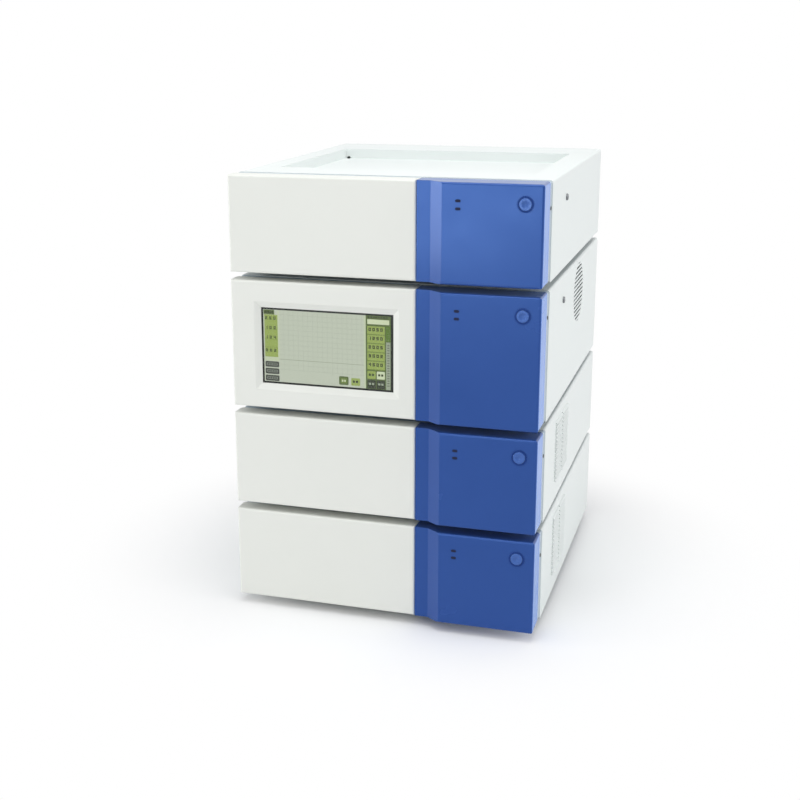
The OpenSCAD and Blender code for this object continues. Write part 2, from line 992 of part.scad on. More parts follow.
// Heated block with a round-bottomed channel for the column
module heater_block() {
    y0 = oven_back_y - block_t;
    color(alloy) translate([0, 0, oven_z]) difference() {
        block([column_x - block_w / 2, y0, column_z - block_h / 2],
              [column_x + block_w / 2, oven_back_y, column_z + block_h / 2]);
        translate([column_x - block_w, channel_y, column_z]) rotate([0, 90, 0])
            cylinder(r = channel_r, h = 2 * block_w);
        for (z = groove_zs)
            block([column_x - block_w / 2 - 1, y0 - 1, column_z + z - groove_w / 2],
                  [column_x + block_w / 2 + 1, y0 + groove_d, column_z + z + groove_w / 2]);
    }
}

// Spring clips that hold the column to the block
module column_clips() {
    color(steel) translate([0, 0, oven_z])
        for (s = [-1, 1]) translate([column_x + s * clip_spread, column_y, column_z])
            along_x(-clip_w / 2, clip_w / 2) clip_outline();
}

// Open ring round the column, on a foot that stands in the block's channel
module clip_outline() {
    r = column_r + clip_t;
    foot_y = column_r + clip_t / 2;
    floor_y = channel_y - column_y + sqrt(pow(channel_r, 2) - pow(clip_foot / 2, 2));
    difference() {
        circle(r);
        circle(column_r);
        translate([-r - 1, -clip_mouth / 2]) square([r, clip_mouth]);
    }
    translate([foot_y, -clip_foot / 2]) square([floor_y - foot_y, clip_foot]);
}

module column_tube() {
    color(steel) translate([column_x - column_l / 2, column_y, oven_z + column_z])
        rotate([0, 90, 0]) difference() {
            cylinder(r = column_r, h = column_l);
            translate([0, 0, -1]) cylinder(r = column_bore_r, h = column_l + 2);
        }
}

// Hexagonal end fittings screwed on the column's tube
module column_fittings() {
    color(alloy) translate([column_x, column_y, oven_z + column_z]) both_sides()
        translate([column_l / 2 - fitting_l + fitting_overlap, 0, 0]) rotate([0, 90, 0])
            difference() {
                union() {
                    cylinder(r = fitting_r, h = fitting_l, $fn = 6);
                    cylinder(r = fitting_neck_r, h = fitting_l + fitting_neck_l);
                }
                translate([0, 0, -1]) cylinder(r = column_r, h = fitting_l - fitting_overlap + 1);
                cylinder(r = capillary_d / 2, h = fitting_l + fitting_neck_l + 1);
            }
}

module oven_button() {
    color(alloy) translate([0, 0, oven_z]) power_button(module_h);
}

// ---- Detector ----

module detector_cover() {
    color(white) translate([0, 0, detector_z]) vented_cover(detector_h, fan_y - louvre_w, false) {
        side_screw_holes(detector_h);
        fan_grille();
    }
}

// Round field of horizontal slots
module fan_grille() {
    rows = floor(grille_d / grille_pitch / 2);
    translate([0, fan_y, detector_h - fan_drop]) along_x(half_w - 2 * sheet, half_w + 1)
        intersection() {
            circle(grille_d / 2);
            for (i = [-rows : rows]) translate([0, i * grille_pitch])
                square([grille_d, grille_slot_h], center = true);
        }
}

module detector_chassis() {
    color(grey) translate([0, 0, detector_z]) chassis_tray(detector_h);
}

module detector_bulkhead() {
    color(grey) translate([0, 0, detector_z]) difference() {
        front_frame(detector_h);
        block([-half_w + 8, rim_y - 1, 8], [split_x - 4, case_y - wall, detector_h - 8]);
        block([screen_x - cable_slot_w / 2, case_y - 2 * wall, cable_slot_z],
              [screen_x + cable_slot_w / 2, case_y + 1, cable_slot_z + cable_slot_h]);
    }
}

module detector_fascia() {
    color(blue) translate([0, 0, detector_z]) fascia(detector_h);
}

// Truncated pyramid: width w by height h at y0, one bevel wider at y1
module bevel_form(w, h, y0, y1, grow) {
    intersection() {
        linear_extrude(h * 4, center = true)
            polygon([[-w / 2 - grow, y1], [-w / 2, y0], [w / 2, y0], [w / 2 + grow, y1]]);
        along_x(-w, w)
            polygon([[y1, -h / 2 - grow], [y1, h / 2 + grow], [y0, h / 2], [y0, -h / 2]]);
    }
}

// Fixed white panel with the bevelled window
module detector_panel() {
    y1 = rim_y - door_gap;
    skirt = bevel_w + wall;
    color(white) translate([0, 0, detector_z]) {
        difference() {
            union() {
                difference() {
                    panel_form(detector_h);
                    panel_hollow(detector_h);
                }
                window_block(skirt, front_y + wall / 2, front_y + bevel_d + glass_t);
                panel_pillars();
            }
            translate([screen_x, 0, screen_z]) {
                translate([0, front_y, 0])
                    bevel_form(screen_w - 2 * glass_lip, screen_h - 2 * glass_lip,
                               bevel_d - ledge_t, -0.01, bevel_w);
            }
            window_block(-glass_lip, front_y, front_y + bevel_d + 1);
            window_block(0, front_y + bevel_d, front_y + bevel_d + glass_t + 1);
        }
    }
}

// Block round the display window, grown by a margin
module window_block(grow, y0, y1) {
    block([screen_x - screen_w / 2 - grow, y0, screen_z - screen_h / 2 - grow],
          [screen_x + screen_w / 2 + grow, y1, screen_z + screen_h / 2 + grow]);
}

// Pillars that carry the display and stand on the bulkhead
module panel_pillars() {
    for (s = [-1, 1], z = [pillar_inset, detector_h - pillar_inset])
        along_y(front_y + wall / 2, rim_y) translate([screen_x + s * pillar_dx, z])
            circle(pillar_r);
}

module touch_glass() {
    color([0.1, 0.12, 0.14, 0.4]) translate([0, 0, detector_z])
        window_block(0, front_y + bevel_d, front_y + bevel_d + glass_t);
}

// Display module: framed panel with its driver board behind
module display_module() {
    y0 = front_y + bevel_d + glass_t;
    color(black) translate([0, 0, detector_z]) {
        window_block(glass_lip, y0, y0 + module_t);
        translate([screen_x, y0 + module_t, screen_z]) {
            translate([-driver_w / 2, 0, -driver_h / 2]) cube([driver_w, board_t, driver_h]);
            translate([-plug_w / 2, board_t, -driver_h / 2]) cube([plug_w, plug_t, plug_h]);
        }
    }
}

// Cast optical bench on four legs, open at the top, with a ribbed back
module optical_bench() {
    inset = 2 * bench_wall;
    color(alloy) translate([0, 0, detector_z]) {
        for (x = [bench_x0 + inset, bench_x1 - inset], y = [bench_y0 + inset, bench_y1 - inset])
            translate([x, y, sheet]) cylinder(r = bench_leg_r, h = bench_z0 - sheet + 1);
        difference() {
            block([bench_x0, bench_y0, bench_z0], [bench_x1, bench_y1, bench_z0 + bench_h]);
            block([bench_x0 + bench_wall, bench_y0 + bench_wall, bench_z0 + bench_floor_t],
                  [bench_x1 - bench_wall, bench_y1 - bench_wall, bench_z0 + bench_h + 1]);
            translate([bench_x1 - bench_wall - 1, lamp_y, beam_z]) rotate([0, 90, 0])
                cylinder(r = beam_r, h = bench_wall + 2);
            translate([cell_x, bench_y0 - 1, beam_z]) rotate([-90, 0, 0])
                cylinder(r = cell_r, h = bench_wall + 2);
        }
        for (i = [1 : bench_ribs])
            translate([bench_x0 + i * bench_w / (bench_ribs + 1) - bench_rib_t / 2, bench_y1 - 1,
                       bench_z0])
                cube([bench_rib_t, bench_rib_d + 1, bench_h - bench_wall]);
    }
}

// Housing of the lamp, beside the bench, with fins at its front and back
module lamp_housing() {
    y = lamp_house_d / 2;
    z1 = bench_z0 + bench_h + 4;
    color(alloy) translate([bench_x1, lamp_y, detector_z]) difference() {
        block([0, -y, sheet], [lamp_house_w, y, z1]);
        for (i = [0 : lamp_fins - 1], s = [-1, 1])
            translate([10 + i * lamp_fin_pitch, s * y - lamp_fin_d, bench_z0 - 10])
                cube([lamp_fin_gap, 2 * lamp_fin_d, z1]);
    }
}

// Flow cell in the bench's front wall, with two capillary ports
module flow_cell() {
    color(steel) translate([cell_x, bench_y0 - cell_flange_l, detector_z + beam_z])
        rotate([-90, 0, 0]) difference() {
            union() {
                cylinder(r = cell_r, h = cell_l);
                cylinder(r = cell_r + cell_flange, h = cell_flange_l);
                for (s = [-1, 1]) translate([s * cell_port_dx, 0, -8])
                    cylinder(r = 3.5, h = 10, $fn = 6);
            }
            for (s = [-1, 1]) translate([s * cell_port_dx, 0, -9])
                cylinder(r = capillary_d / 2, h = 20);
        }
}

// Axial fan: square frame with four struts behind the rotor
module fan_frame() {
    color(black) translate([fan_x, fan_y, detector_z + detector_h - fan_drop])
        rotate([90, 0, 90]) {
            linear_extrude(fan_t) difference() {
                round_rect([-fan_w, -fan_w] / 2, [fan_w, fan_w] / 2, [5, 5, 5, 5]);
                circle(grille_d / 2);
                for (x = [-1, 1], y = [-1, 1])
                    translate([x, y] * (fan_w / 2 - fan_hole_inset)) circle(fan_hole_r);
            }
            linear_extrude(strut_t) {
                circle(hub_r);
                for (a = [45 : 90 : 315]) rotate(a)
                    translate([hub_r - 2, -strut_w / 2])
                        square([grille_d / 2 - hub_r + 3, strut_w]);
            }
            cylinder(r = fan_shaft_r, h = strut_t + hub_gap + rotor_t - 3);
        }
}

// Rotor: cupped hub with seven pitched blades
module fan_rotor() {
    tip_r = grille_d / 2 - rotor_gap;
    color(black)
        translate([fan_x + strut_t + hub_gap, fan_y, detector_z + detector_h - fan_drop])
        rotate([90, 0, 90]) difference() {
            union() {
                cylinder(r = hub_r, h = rotor_t);
                intersection() {
                    cylinder(r = tip_r, h = rotor_t);
                    for (i = [0 : blades - 1]) rotate(i * 360 / blades)
                        translate([hub_r - 1, 0, rotor_t / 2]) rotate([blade_pitch, 0, 0])
                            translate([0, -blade_t / 2, -rotor_t])
                                cube([tip_r - hub_r + 2, blade_t, 2 * rotor_t]);
                }
            }
            translate([0, 0, -1]) cylinder(r = fan_shaft_r + running_fit, h = rotor_t - 1);
        }
}

module detector_button() {
    color(alloy) translate([0, 0, detector_z]) power_button(detector_h);
}

// ---- Pumps ----

module pump_cover(z) {
    color(white) translate([0, 0, z]) vented_cover(module_h, louvre_y, true);
}

module pump_chassis(z) {
    color(grey) translate([0, 0, z]) chassis_tray(module_h);
}

module pump_bulkhead(z) {
    color(grey) translate([0, 0, z])
        compartment_frame(module_h, pump_room_d, room_margin, module_h - room_margin) {
            for (x = head_xs) translate([x, room_back_y - 1, pump_mid_z]) rotate([-90, 0, 0])
                cylinder(r = nose_r, h = wall + 2);
            translate([room_x0 - wall - 1, case_y + 20, 20]) rotate([0, 90, 0])
                cylinder(r = duct_r, h = wall + 2);
        }
}

module pump_fascia(z) {
    color(blue) translate([0, 0, z]) fascia(module_h);
}

module pump_door(z) {
    color(white) translate([0, 0, z]) door(module_h);
}

// Cam housings, each with two plunger noses and a stepper motor
module pump_drives() {
    y0 = room_back_y + wall;
    color(alloy) for (z = pump_zs) translate([0, 0, z]) {
        block([drive_x0, y0, drive_z0], [drive_x1, y0 + drive_d, drive_z1]);
        for (x = [drive_x0 + 4, drive_x1 - 16])
            block([x, y0 + 8, sheet], [x + 12, y0 + drive_d - 8, drive_z0 + 1]);
        for (x = head_xs) translate([x, room_back_y, pump_mid_z]) rotate([-90, 0, 0])
            cylinder(r = nose_r, h = wall + 1);
        for (i = [0 : 6]) translate([drive_x0 + 12 + i * 15, y0 + 10, drive_z1 - 1])
            cube([rib_h, drive_d - 20, 5]);
        translate([drive_x1 - motor_w - 6, y0 + drive_d - 1, 20]) along_y(0, motor_l)
            round_rect([0, 0], [motor_w, motor_w], [motor_r, motor_r, motor_r, motor_r]);
    }
}

// Pump heads: a square block on a round boss, with a domed face
module pump_heads() {
    color(steel) for (z = pump_zs, x = head_xs)
        translate([x, 0, z + pump_mid_z]) {
            along_y(head_front_y, head_front_y + head_t)
                round_rect([-head_w, -head_w] / 2, [head_w, head_w] / 2,
                           [head_r, head_r, head_r, head_r]);
            along_y(head_front_y + head_t - 1, room_back_y) circle(nose_r + 3);
            along_y(head_front_y - 2, head_front_y + 1) circle(head_w / 2 - 8);
        }
}

// Two socket screws in the face of each head
module head_screws() {
    off = head_w / 2 - head_screw_inset;
    color(black) for (z = pump_zs, x = head_xs, s = [-1, 1])
        translate([x + s * off, head_front_y, z + pump_mid_z + s * off])
            rotate([90, 0, 0]) difference() {
                cylinder(r = head_screw_r, h = head_screw_h);
                translate([0, 0, head_screw_h / 2])
                    cylinder(r = head_hex_r, h = head_screw_h, $fn = 6);
            }
}

// Inlet and outlet check valves, below and above each head
module check_valves() {
    y = head_front_y + head_t / 2;
    color(steel) for (z = pump_zs, x = head_xs)
        translate([x, y, z + pump_mid_z]) for (s = [0, 1]) mirror([0, 0, s])
            translate([0, 0, head_w / 2]) difference() {
                union() {
                    cylinder(r = valve_af / sqrt(3), h = valve_h - 5, $fn = 6);
                    cylinder(r = valve_af / 2 - 1, h = valve_h);
                }
                translate([0, 0, 4]) cylinder(r = capillary_d / 2, h = valve_h);
            }
}

// Outlet block with the pressure sensor; the purge knob's stem turns in it
module manifolds() {
    color(steel) for (z = pump_zs) translate([manifold_x, 0, z + pump_mid_z]) difference() {
        union() {
            along_y(manifold_front_y, room_back_y)
                round_rect([-manifold_w / 2, -18], [manifold_w / 2, 22], [3, 3, 3, 3]);
            translate([0, manifold_front_y + manifold_t / 2, -36]) cylinder(r = 9, h = 19);
            translate([0, manifold_front_y + manifold_t / 2, -42]) cylinder(r = 5, h = 7);
        }
        translate([0, manifold_front_y - 1, knob_rise]) rotate([-90, 0, 0])
            cylinder(r = knob_stem_r + running_fit, h = knob_stem_l + 2);
        translate([-manifold_w / 4, manifold_front_y + manifold_t / 2, 16])
            cylinder(r = capillary_d / 2, h = 8);
    }
}

// Fluted knob with its stem
module purge_knob(z) {
    r = knob_d / 2;
    color(black) translate([manifold_x, manifold_front_y, z + pump_mid_z + knob_rise])
        rotate([90, 0, 0]) difference() {
            union() {
                translate([0, 0, knob_shoulder]) cylinder(r = r, h = knob_t);
                translate([0, 0, -knob_stem_l]) cylinder(r = knob_stem_r, h = knob_stem_l + 2);
                translate([0, 0, knob_gap]) cylinder(r = r - 5, h = knob_shoulder);
            }
            for (i = [0 : knob_flutes - 1]) rotate(i * 360 / knob_flutes)
                translate([r + 1, 0, 3]) cylinder(r = 2.2, h = knob_t);
            translate([0, 0, knob_t]) cylinder(r = r - 6, h = 2);
        }
}

// Steel capillaries: first head to second head to manifold
module capillaries() {
    y = head_front_y + head_t / 2;
    top = pump_mid_z + head_w / 2;
    low = pump_mid_z - head_w / 2;
    mid_x = (head_xs[0] + head_xs[1]) / 2;
    port_x0 = manifold_x - manifold_w / 4;
    port_y = manifold_front_y + manifold_t / 2;
    color(steel) for (z = pump_zs) translate([0, 0, z]) {
        tube_run([
            [head_xs[0], y, top + 5], [head_xs[0], y, top + valve_h + 5],
            [mid_x, y, top + valve_h + 5], [mid_x, y, low - valve_h - 4],
            [head_xs[1], y, low - valve_h - 4], [head_xs[1], y, low - 5]
        ], capillary_d / 2);
        tube_run([
            [head_xs[1], y, top + 5], [head_xs[1], y, top + valve_h + 5],
            [port_x0, y, top + valve_h + 5], [port_x0, port_y, top + valve_h + 5],
            [port_x0, port_y, pump_mid_z + 17]
        ], capillary_d / 2);
    }
}

// ---- Fasteners, feet and repeated small parts ----

module pan_screw() {
    cylinder(r = screw_head_r, h = screw_head_h);
    translate([0, 0, -screw_l]) cylinder(r = screw_r, h = screw_l + 1);
}

module cover_screws() {
    color(steel) {
        for (i = [0 : 3]) for (p = rear_screw_places(module_hs[i]))
            translate(p + [0, 0, module_zs[i]]) rotate([-90, 0, 0]) pan_screw();
        for (i = [2, 3]) both_sides()
            translate([half_w, side_screw_y, module_zs[i] + module_hs[i] - side_screw_drop])
                rotate([0, 90, 0]) pan_screw();
    }
}

function foot_places() = [
    for (s = [-1, 1], y = [case_y + foot_front, back_y - foot_back])
        [s * (half_w - foot_dx), y]
];

module bench_feet() {
    color(black) for (p = foot_places()) translate(p)
        cylinder(r1 = bench_foot_r1, r2 = bench_foot_r2, h = bench_foot_h);
}

module stack_feet() {
    color(black) for (i = [1 : 3], p = foot_places())
        translate([p[0], p[1], module_zs[i] - stack_foot_h])
            cylinder(r = foot_r, h = stack_foot_h);
}

// Draws a child of height h in every module
module in_each_module() {
    for (i = [0 : 3]) translate([0, 0, module_zs[i]]) {
        $h = module_hs[i];
        children();
    }
}

module button_bezels() {
    color(black) in_each_module() button_bezel($h);
}

module status_lamps() {
    color(lens) in_each_module() lamp_pair($h);
}

module switch_boards() {
    color(board_green) in_each_module() switch_board($h);
}

module fascia_screws() {
    color(black) in_each_module() fascia_screw_pair($h);
}

module mains_inlets() {
    color(black) in_each_module() mains_inlet();
}

module inlet_contacts() {
    color(brass) in_each_module() inlet_contact_set();
}

module data_ports() {
    color(steel) in_each_module() data_port();
}

module power_supplies() {
    color(alloy) in_each_module() power_supply();
}

module control_boards() {
    color(board_green) in_each_module() control_board();
}

module hinge_pins() {
    color(steel) for (z = door_zs) translate([0, 0, z]) door_pins(module_h);
}

module door_magnets() {
    color(steel) for (z = door_zs) translate([0, 0, z]) magnet(module_h);
}

module pump_button(z) {
    color(alloy) translate([0, 0, z]) power_button(module_h);
}

oven_cover();
solvent_tray();
oven_chassis();
oven_bulkhead();
oven_fascia();
oven_door();
oven_door_pad();
oven_insulation();
heater_block();
column_clips();
column_tube();
column_fittings();
detector_cover();
detector_chassis();
detector_bulkhead();
detector_fascia();
detector_panel();
display_module();
touch_glass();
optical_bench();
lamp_housing();
flow_cell();
fan_frame();
fan_rotor();
pump_cover(pump_b_z);  // pump_b_cover
pump_chassis(pump_b_z);  // pump_b_chassis
pump_bulkhead(pump_b_z);  // pump_b_bulkhead
pump_fascia(pump_b_z);  // pump_b_fascia
pump_door(pump_b_z);  // pump_b_door
purge_knob(pump_b_z);  // pump_b_purge_knob
pump_cover(pump_a_z);  // pump_a_cover
pump_chassis(pump_a_z);  // pump_a_chassis
pump_bulkhead(pump_a_z);  // pump_a_bulkhead
pump_fascia(pump_a_z);  // pump_a_fascia
pump_door(pump_a_z);  // pump_a_door
purge_knob(pump_a_z);  // pump_a_purge_knob
pump_drives();
pump_heads();
manifolds();
check_valves();
capillaries();
head_screws();
oven_button();
detector_button();
pump_button(pump_b_z);  // pump_b_button
pump_button(pump_a_z);  // pump_a_button
button_bezels();
status_lamps();
switch_boards();
mains_inlets();
inlet_contacts();
data_ports();
power_supplies();
control_boards();
bench_feet();
stack_feet();
cover_screws();
fascia_screws();
hinge_pins();
door_magnets();
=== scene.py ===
import bpy
import json
import math
from mathutils import Matrix, Vector


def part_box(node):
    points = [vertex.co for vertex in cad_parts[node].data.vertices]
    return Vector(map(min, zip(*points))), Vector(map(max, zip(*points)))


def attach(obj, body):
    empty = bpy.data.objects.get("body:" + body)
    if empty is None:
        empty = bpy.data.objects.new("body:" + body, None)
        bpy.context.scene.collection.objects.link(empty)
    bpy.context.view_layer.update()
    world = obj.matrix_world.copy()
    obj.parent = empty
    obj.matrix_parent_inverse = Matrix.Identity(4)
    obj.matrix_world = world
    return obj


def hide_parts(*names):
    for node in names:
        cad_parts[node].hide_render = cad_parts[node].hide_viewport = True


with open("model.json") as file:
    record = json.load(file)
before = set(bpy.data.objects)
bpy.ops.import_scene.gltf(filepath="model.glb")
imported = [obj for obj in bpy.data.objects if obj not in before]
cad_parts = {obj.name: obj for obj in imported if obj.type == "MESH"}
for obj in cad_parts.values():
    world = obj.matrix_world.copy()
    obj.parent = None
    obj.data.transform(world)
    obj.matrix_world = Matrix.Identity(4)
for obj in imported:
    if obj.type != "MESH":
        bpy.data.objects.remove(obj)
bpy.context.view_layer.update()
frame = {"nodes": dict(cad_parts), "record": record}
nodes = frame["nodes"]


def toLinear(hexColour):
    # sRGB hex to the linear colour that the shaders take
    channels = [int(hexColour[i:i + 2], 16) / 255 for i in (1, 3, 5)]
    return [c / 12.92 if c <= 0.04045 else ((c + 0.055) / 1.055) ** 2.4 for c in channels] + [1.0]


def addNode(tree, kind, inputs=None, **settings):
    # a node with its settings; an input that is a socket is linked, any other value is set
    node = tree.nodes.new(kind)
    for key, value in settings.items():
        setattr(node, key, value)
    for socket, value in (inputs or {}).items():
        if isinstance(value, bpy.types.NodeSocket):
            tree.links.new(value, node.inputs[socket])
        else:
            node.inputs[socket].default_value = value
    return node


def newFinish(name):
    # an empty material with its shader wired to the output
    material = bpy.data.materials.new(name)
    material.use_nodes = True
    tree = material.node_tree
    tree.nodes.clear()
    shader = addNode(tree, "ShaderNodeBsdfPrincipled")
    output = addNode(tree, "ShaderNodeOutputMaterial", {"Surface": shader.outputs[0]})
    output.location = (300, 0)
    return material, tree, shader


def choose(*objects):
    # select only these, the first one active
    if bpy.context.object and bpy.context.object.mode == "EDIT":
        bpy.ops.object.mode_set(mode="OBJECT")
    bpy.ops.object.select_all(action="DESELECT")
    for obj in objects:
        obj.select_set(True)
    bpy.context.view_layer.objects.active = objects[0] if objects else None


def pickFaces(obj, test):
    # edit mode with only the faces that pass the test selected
    bpy.ops.object.mode_set(mode="OBJECT")
    for group in (obj.data.vertices, obj.data.edges, obj.data.polygons):
        group.foreach_set("select", [False] * len(group))
    for face in obj.data.polygons:
        face.select = test(face)
    bpy.ops.object.mode_set(mode="EDIT")
    bpy.ops.mesh.select_mode(type="FACE")


def applyModifier(obj, kind, **settings):
    # add a modifier and make it part of the mesh
    choose(obj)
    modifier = obj.modifiers.new(kind.title(), kind)
    for key, value in settings.items():
        setattr(modifier, key, value)
    bpy.ops.object.modifier_apply(modifier=modifier.name)


def joinPieces(objects, name):
    # one mesh from many, with its place baked in
    choose(*objects)
    if len(objects) > 1:
        bpy.ops.object.join()
    bpy.ops.object.transform_apply(location=True, rotation=True, scale=True)
    joined = bpy.context.object
    joined.name = joined.data.name = name
    return joined


def copyPiece(obj, matrix):
    # a copy with its own mesh
    twin = obj.copy()
    twin.data = obj.data.copy()
    twin.matrix_world = matrix
    bpy.context.scene.collection.objects.link(twin)
    return twin


def place(obj, finish, body):
    # give a piece its finish, the body that carries it and its slot
    obj.data.materials.clear()
    obj.data.materials.append(finish)
    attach(obj, body)
    return obj


# bump height in metres, and how far the roughness wanders below and above its value
skins = {
    "coat": {"relief": 0.0002, "smoother": 0.04, "rougher": 0.05},
    "resin": {"relief": 0.00015, "smoother": 0.05, "rougher": 0.06},
    "metal": {"relief": 0.0001, "smoother": 0.06, "rougher": 0.08},
    "foam": {"relief": 0.0004},
    "board": {"relief": 0.0001},
}
edgeRays = 6  # rays with which the shader rounds each edge


def powderCoat(name, coat):
    # polyester powder on folded steel: even and satin, with an orange peel that breaks up highlights
    skin = skins["coat"]
    material, tree, shader = newFinish(name)
    coords = addNode(tree, "ShaderNodeTexCoord").outputs["Object"]
    tone = addNode(tree, "ShaderNodeTexNoise", {"Vector": coords, "Scale": 1000 / coat["toneMm"],
                                                "Detail": 3.0, "Roughness": 0.55})
    colour = addNode(tree, "ShaderNodeMix", {"Factor": tone.outputs["Fac"], "A": toLinear(coat["dark"]),
                                             "B": toLinear(coat["light"])}, data_type="RGBA")
    gloss = addNode(tree, "ShaderNodeMapRange", {"Value": tone.outputs["Fac"], "From Min": 0.3,
                                                 "From Max": 0.7,
                                                 "To Min": coat["roughness"] - skin["smoother"],
                                                 "To Max": coat["roughness"] + skin["rougher"]})
    peel = addNode(tree, "ShaderNodeTexNoise", {"Vector": coords, "Scale": 1000 / coat["peelMm"],
                                                "Detail": 2.0, "Roughness": 0.5})
    edge = addNode(tree, "ShaderNodeBevel", {"Radius": coat["edgeMm"] / 1000}, samples=edgeRays)
    bump = addNode(tree, "ShaderNodeBump", {"Height": peel.outputs["Fac"], "Strength": coat["peel"],
                                            "Distance": skin["relief"], "Normal": edge.outputs["Normal"]})
    tree.links.new(colour.outputs["Result"], shader.inputs["Base Color"])
    tree.links.new(gloss.outputs["Result"], shader.inputs["Roughness"])
    tree.links.new(bump.outputs["Normal"], shader.inputs["Normal"])
    shader.inputs["IOR"].default_value = 1.5
    return material


# the last two numbers: how far sideways a face must point for the painted side sheen colour to begin and
# to be full
lacquer = {"hazeRoughness": 0.3, "hazeTint": "#a9ccff", "paintedSheenFrom": 0.8, "paintedSheenAt": 0.97}


def moulding(name, resin):
    # injection-moulded plastic from a spark-eroded tool: fine grain, faint cloudy sheen; "pearl" tints
    # the highlight and "haze" is the soft bloom of a pearl lacquer at grazing angles
    skin = skins["resin"]
    material, tree, shader = newFinish(name)
    coords = addNode(tree, "ShaderNodeTexCoord").outputs["Object"]
    cloud = addNode(tree, "ShaderNodeTexNoise", {"Vector": coords, "Scale": 1000 / resin["cloudMm"],
                                                 "Detail": 4.0, "Roughness": 0.6})
    grain = addNode(tree, "ShaderNodeTexNoise", {"Vector": coords, "Scale": 1000 / resin["grainMm"],
                                                 "Detail": 3.0, "Roughness": 0.65})
    colour = addNode(tree, "ShaderNodeMix", {"Factor": cloud.outputs["Fac"], "A": toLinear(resin["dark"]),
                                             "B": toLinear(resin["light"])}, data_type="RGBA")
    gloss = addNode(tree, "ShaderNodeMapRange", {"Value": cloud.outputs["Fac"], "From Min": 0.3,
                                                 "From Max": 0.7,
                                                 "To Min": resin["roughness"] - skin["smoother"],
                                                 "To Max": resin["roughness"] + skin["rougher"]})
    edge = addNode(tree, "ShaderNodeBevel", {"Radius": resin["edgeMm"] / 1000}, samples=edgeRays)
    bump = addNode(tree, "ShaderNodeBump", {"Height": grain.outputs["Fac"], "Strength": resin["grain"],
                                            "Distance": skin["relief"], "Normal": edge.outputs["Normal"]})
    if "paintedSideSheen" in resin:
        # painted sheen: faces that point sideways get a paler blue colour, standing in for light grazing
        # the narrow sides
        facing = addNode(tree, "ShaderNodeTexCoord").outputs["Normal"]
        way = addNode(tree, "ShaderNodeSeparateXYZ", {"Vector": facing})
        sideways = addNode(tree, "ShaderNodeMath", {0: way.outputs["X"]}, operation="ABSOLUTE")
        share = addNode(tree, "ShaderNodeMapRange", {"Value": sideways.outputs[0],
                                                     "From Min": lacquer["paintedSheenFrom"],
                                                     "From Max": lacquer["paintedSheenAt"]})
        colour = addNode(tree, "ShaderNodeMix", {"Factor": share.outputs["Result"],
                                                 "A": colour.outputs["Result"],
                                                 "B": toLinear(resin["paintedSideSheen"])}, data_type="RGBA")
    tree.links.new(colour.outputs["Result"], shader.inputs["Base Color"])
    tree.links.new(gloss.outputs["Result"], shader.inputs["Roughness"])
    tree.links.new(bump.outputs["Normal"], shader.inputs["Normal"])
    shader.inputs["IOR"].default_value = resin.get("ior", 1.53)
    shader.inputs["Specular IOR Level"].default_value = resin.get("shine", 0.5)
    shader.inputs["Specular Tint"].default_value = toLinear(resin.get("pearl", "#ffffff"))
    shader.inputs["Sheen Weight"].default_value = resin.get("haze", 0.0)
    shader.inputs["Sheen Roughness"].default_value = lacquer["hazeRoughness"]
    shader.inputs["Sheen Tint"].default_value = toLinear(lacquer["hazeTint"])
    return material


def bareMetal(name, metal):
    # lines of the tool or the rolls, stretched along one axis, coarser than real so that they show
    skin = skins["metal"]
    material, tree, shader = newFinish(name)
    coords = addNode(tree, "ShaderNodeTexCoord").outputs["Object"]
    lined = addNode(tree, "ShaderNodeMapping", {"Vector": coords, "Scale": metal["stretch"]})
    lines = addNode(tree, "ShaderNodeTexNoise", {"Vector": lined.outputs[0],
                                                 "Scale": 1000 / metal["lineMm"],
                                                 "Detail": 3.0, "Roughness": 0.6})
    stain = addNode(tree, "ShaderNodeTexNoise", {"Vector": coords, "Scale": 1000 / metal["stainMm"],
                                                 "Detail": 3.0, "Roughness": 0.5})
    colour = addNode(tree, "ShaderNodeMix", {"Factor": stain.outputs["Fac"], "A": toLinear(metal["dark"]),
                                             "B": toLinear(metal["light"])}, data_type="RGBA")
    gloss = addNode(tree, "ShaderNodeMapRange", {"Value": lines.outputs["Fac"], "From Min": 0.3,
                                                 "From Max": 0.7,
                                                 "To Min": metal["roughness"] - skin["smoother"],
                                                 "To Max": metal["roughness"] + skin["rougher"]})
    edge = addNode(tree, "ShaderNodeBevel", {"Radius": metal["edgeMm"] / 1000}, samples=edgeRays)
    bump = addNode(tree, "ShaderNodeBump", {"Height": lines.outputs["Fac"], "Strength": metal["lines"],
                                            "Distance": skin["relief"], "Normal": edge.outputs["Normal"]})
    tree.links.new(colour.outputs["Result"], shader.inputs["Base Color"])
    tree.links.new(gloss.outputs["Result"], shader.inputs["Roughness"])
    tree.links.new(bump.outputs["Normal"], shader.inputs["Normal"])
    shader.inputs["Metallic"].default_value = 1.0
    return material


def cellFoam(name, foam):
    # cut closed-cell foam: a matt face full of small pits
    material, tree, shader = newFinish(name)
    coords = addNode(tree, "ShaderNodeTexCoord").outputs["Object"]
    cells = addNode(tree, "ShaderNodeTexVoronoi", {"Vector": coords, "Scale": 1000 / foam["cellMm"]})
    colour = addNode(tree, "ShaderNodeMix", {"Factor": cells.outputs["Distance"],
                                             "A": toLinear(foam["dark"]),
                                             "B": toLinear(foam["light"])}, data_type="RGBA")
    bump = addNode(tree, "ShaderNodeBump", {"Height": cells.outputs["Distance"],
                                            "Strength": foam["pits"],
                                            "Distance": skins["foam"]["relief"]})
    tree.links.new(colour.outputs["Result"], shader.inputs["Base Color"])
    tree.links.new(bump.outputs["Normal"], shader.inputs["Normal"])
    shader.inputs["Roughness"].default_value = foam["roughness"]
    return material


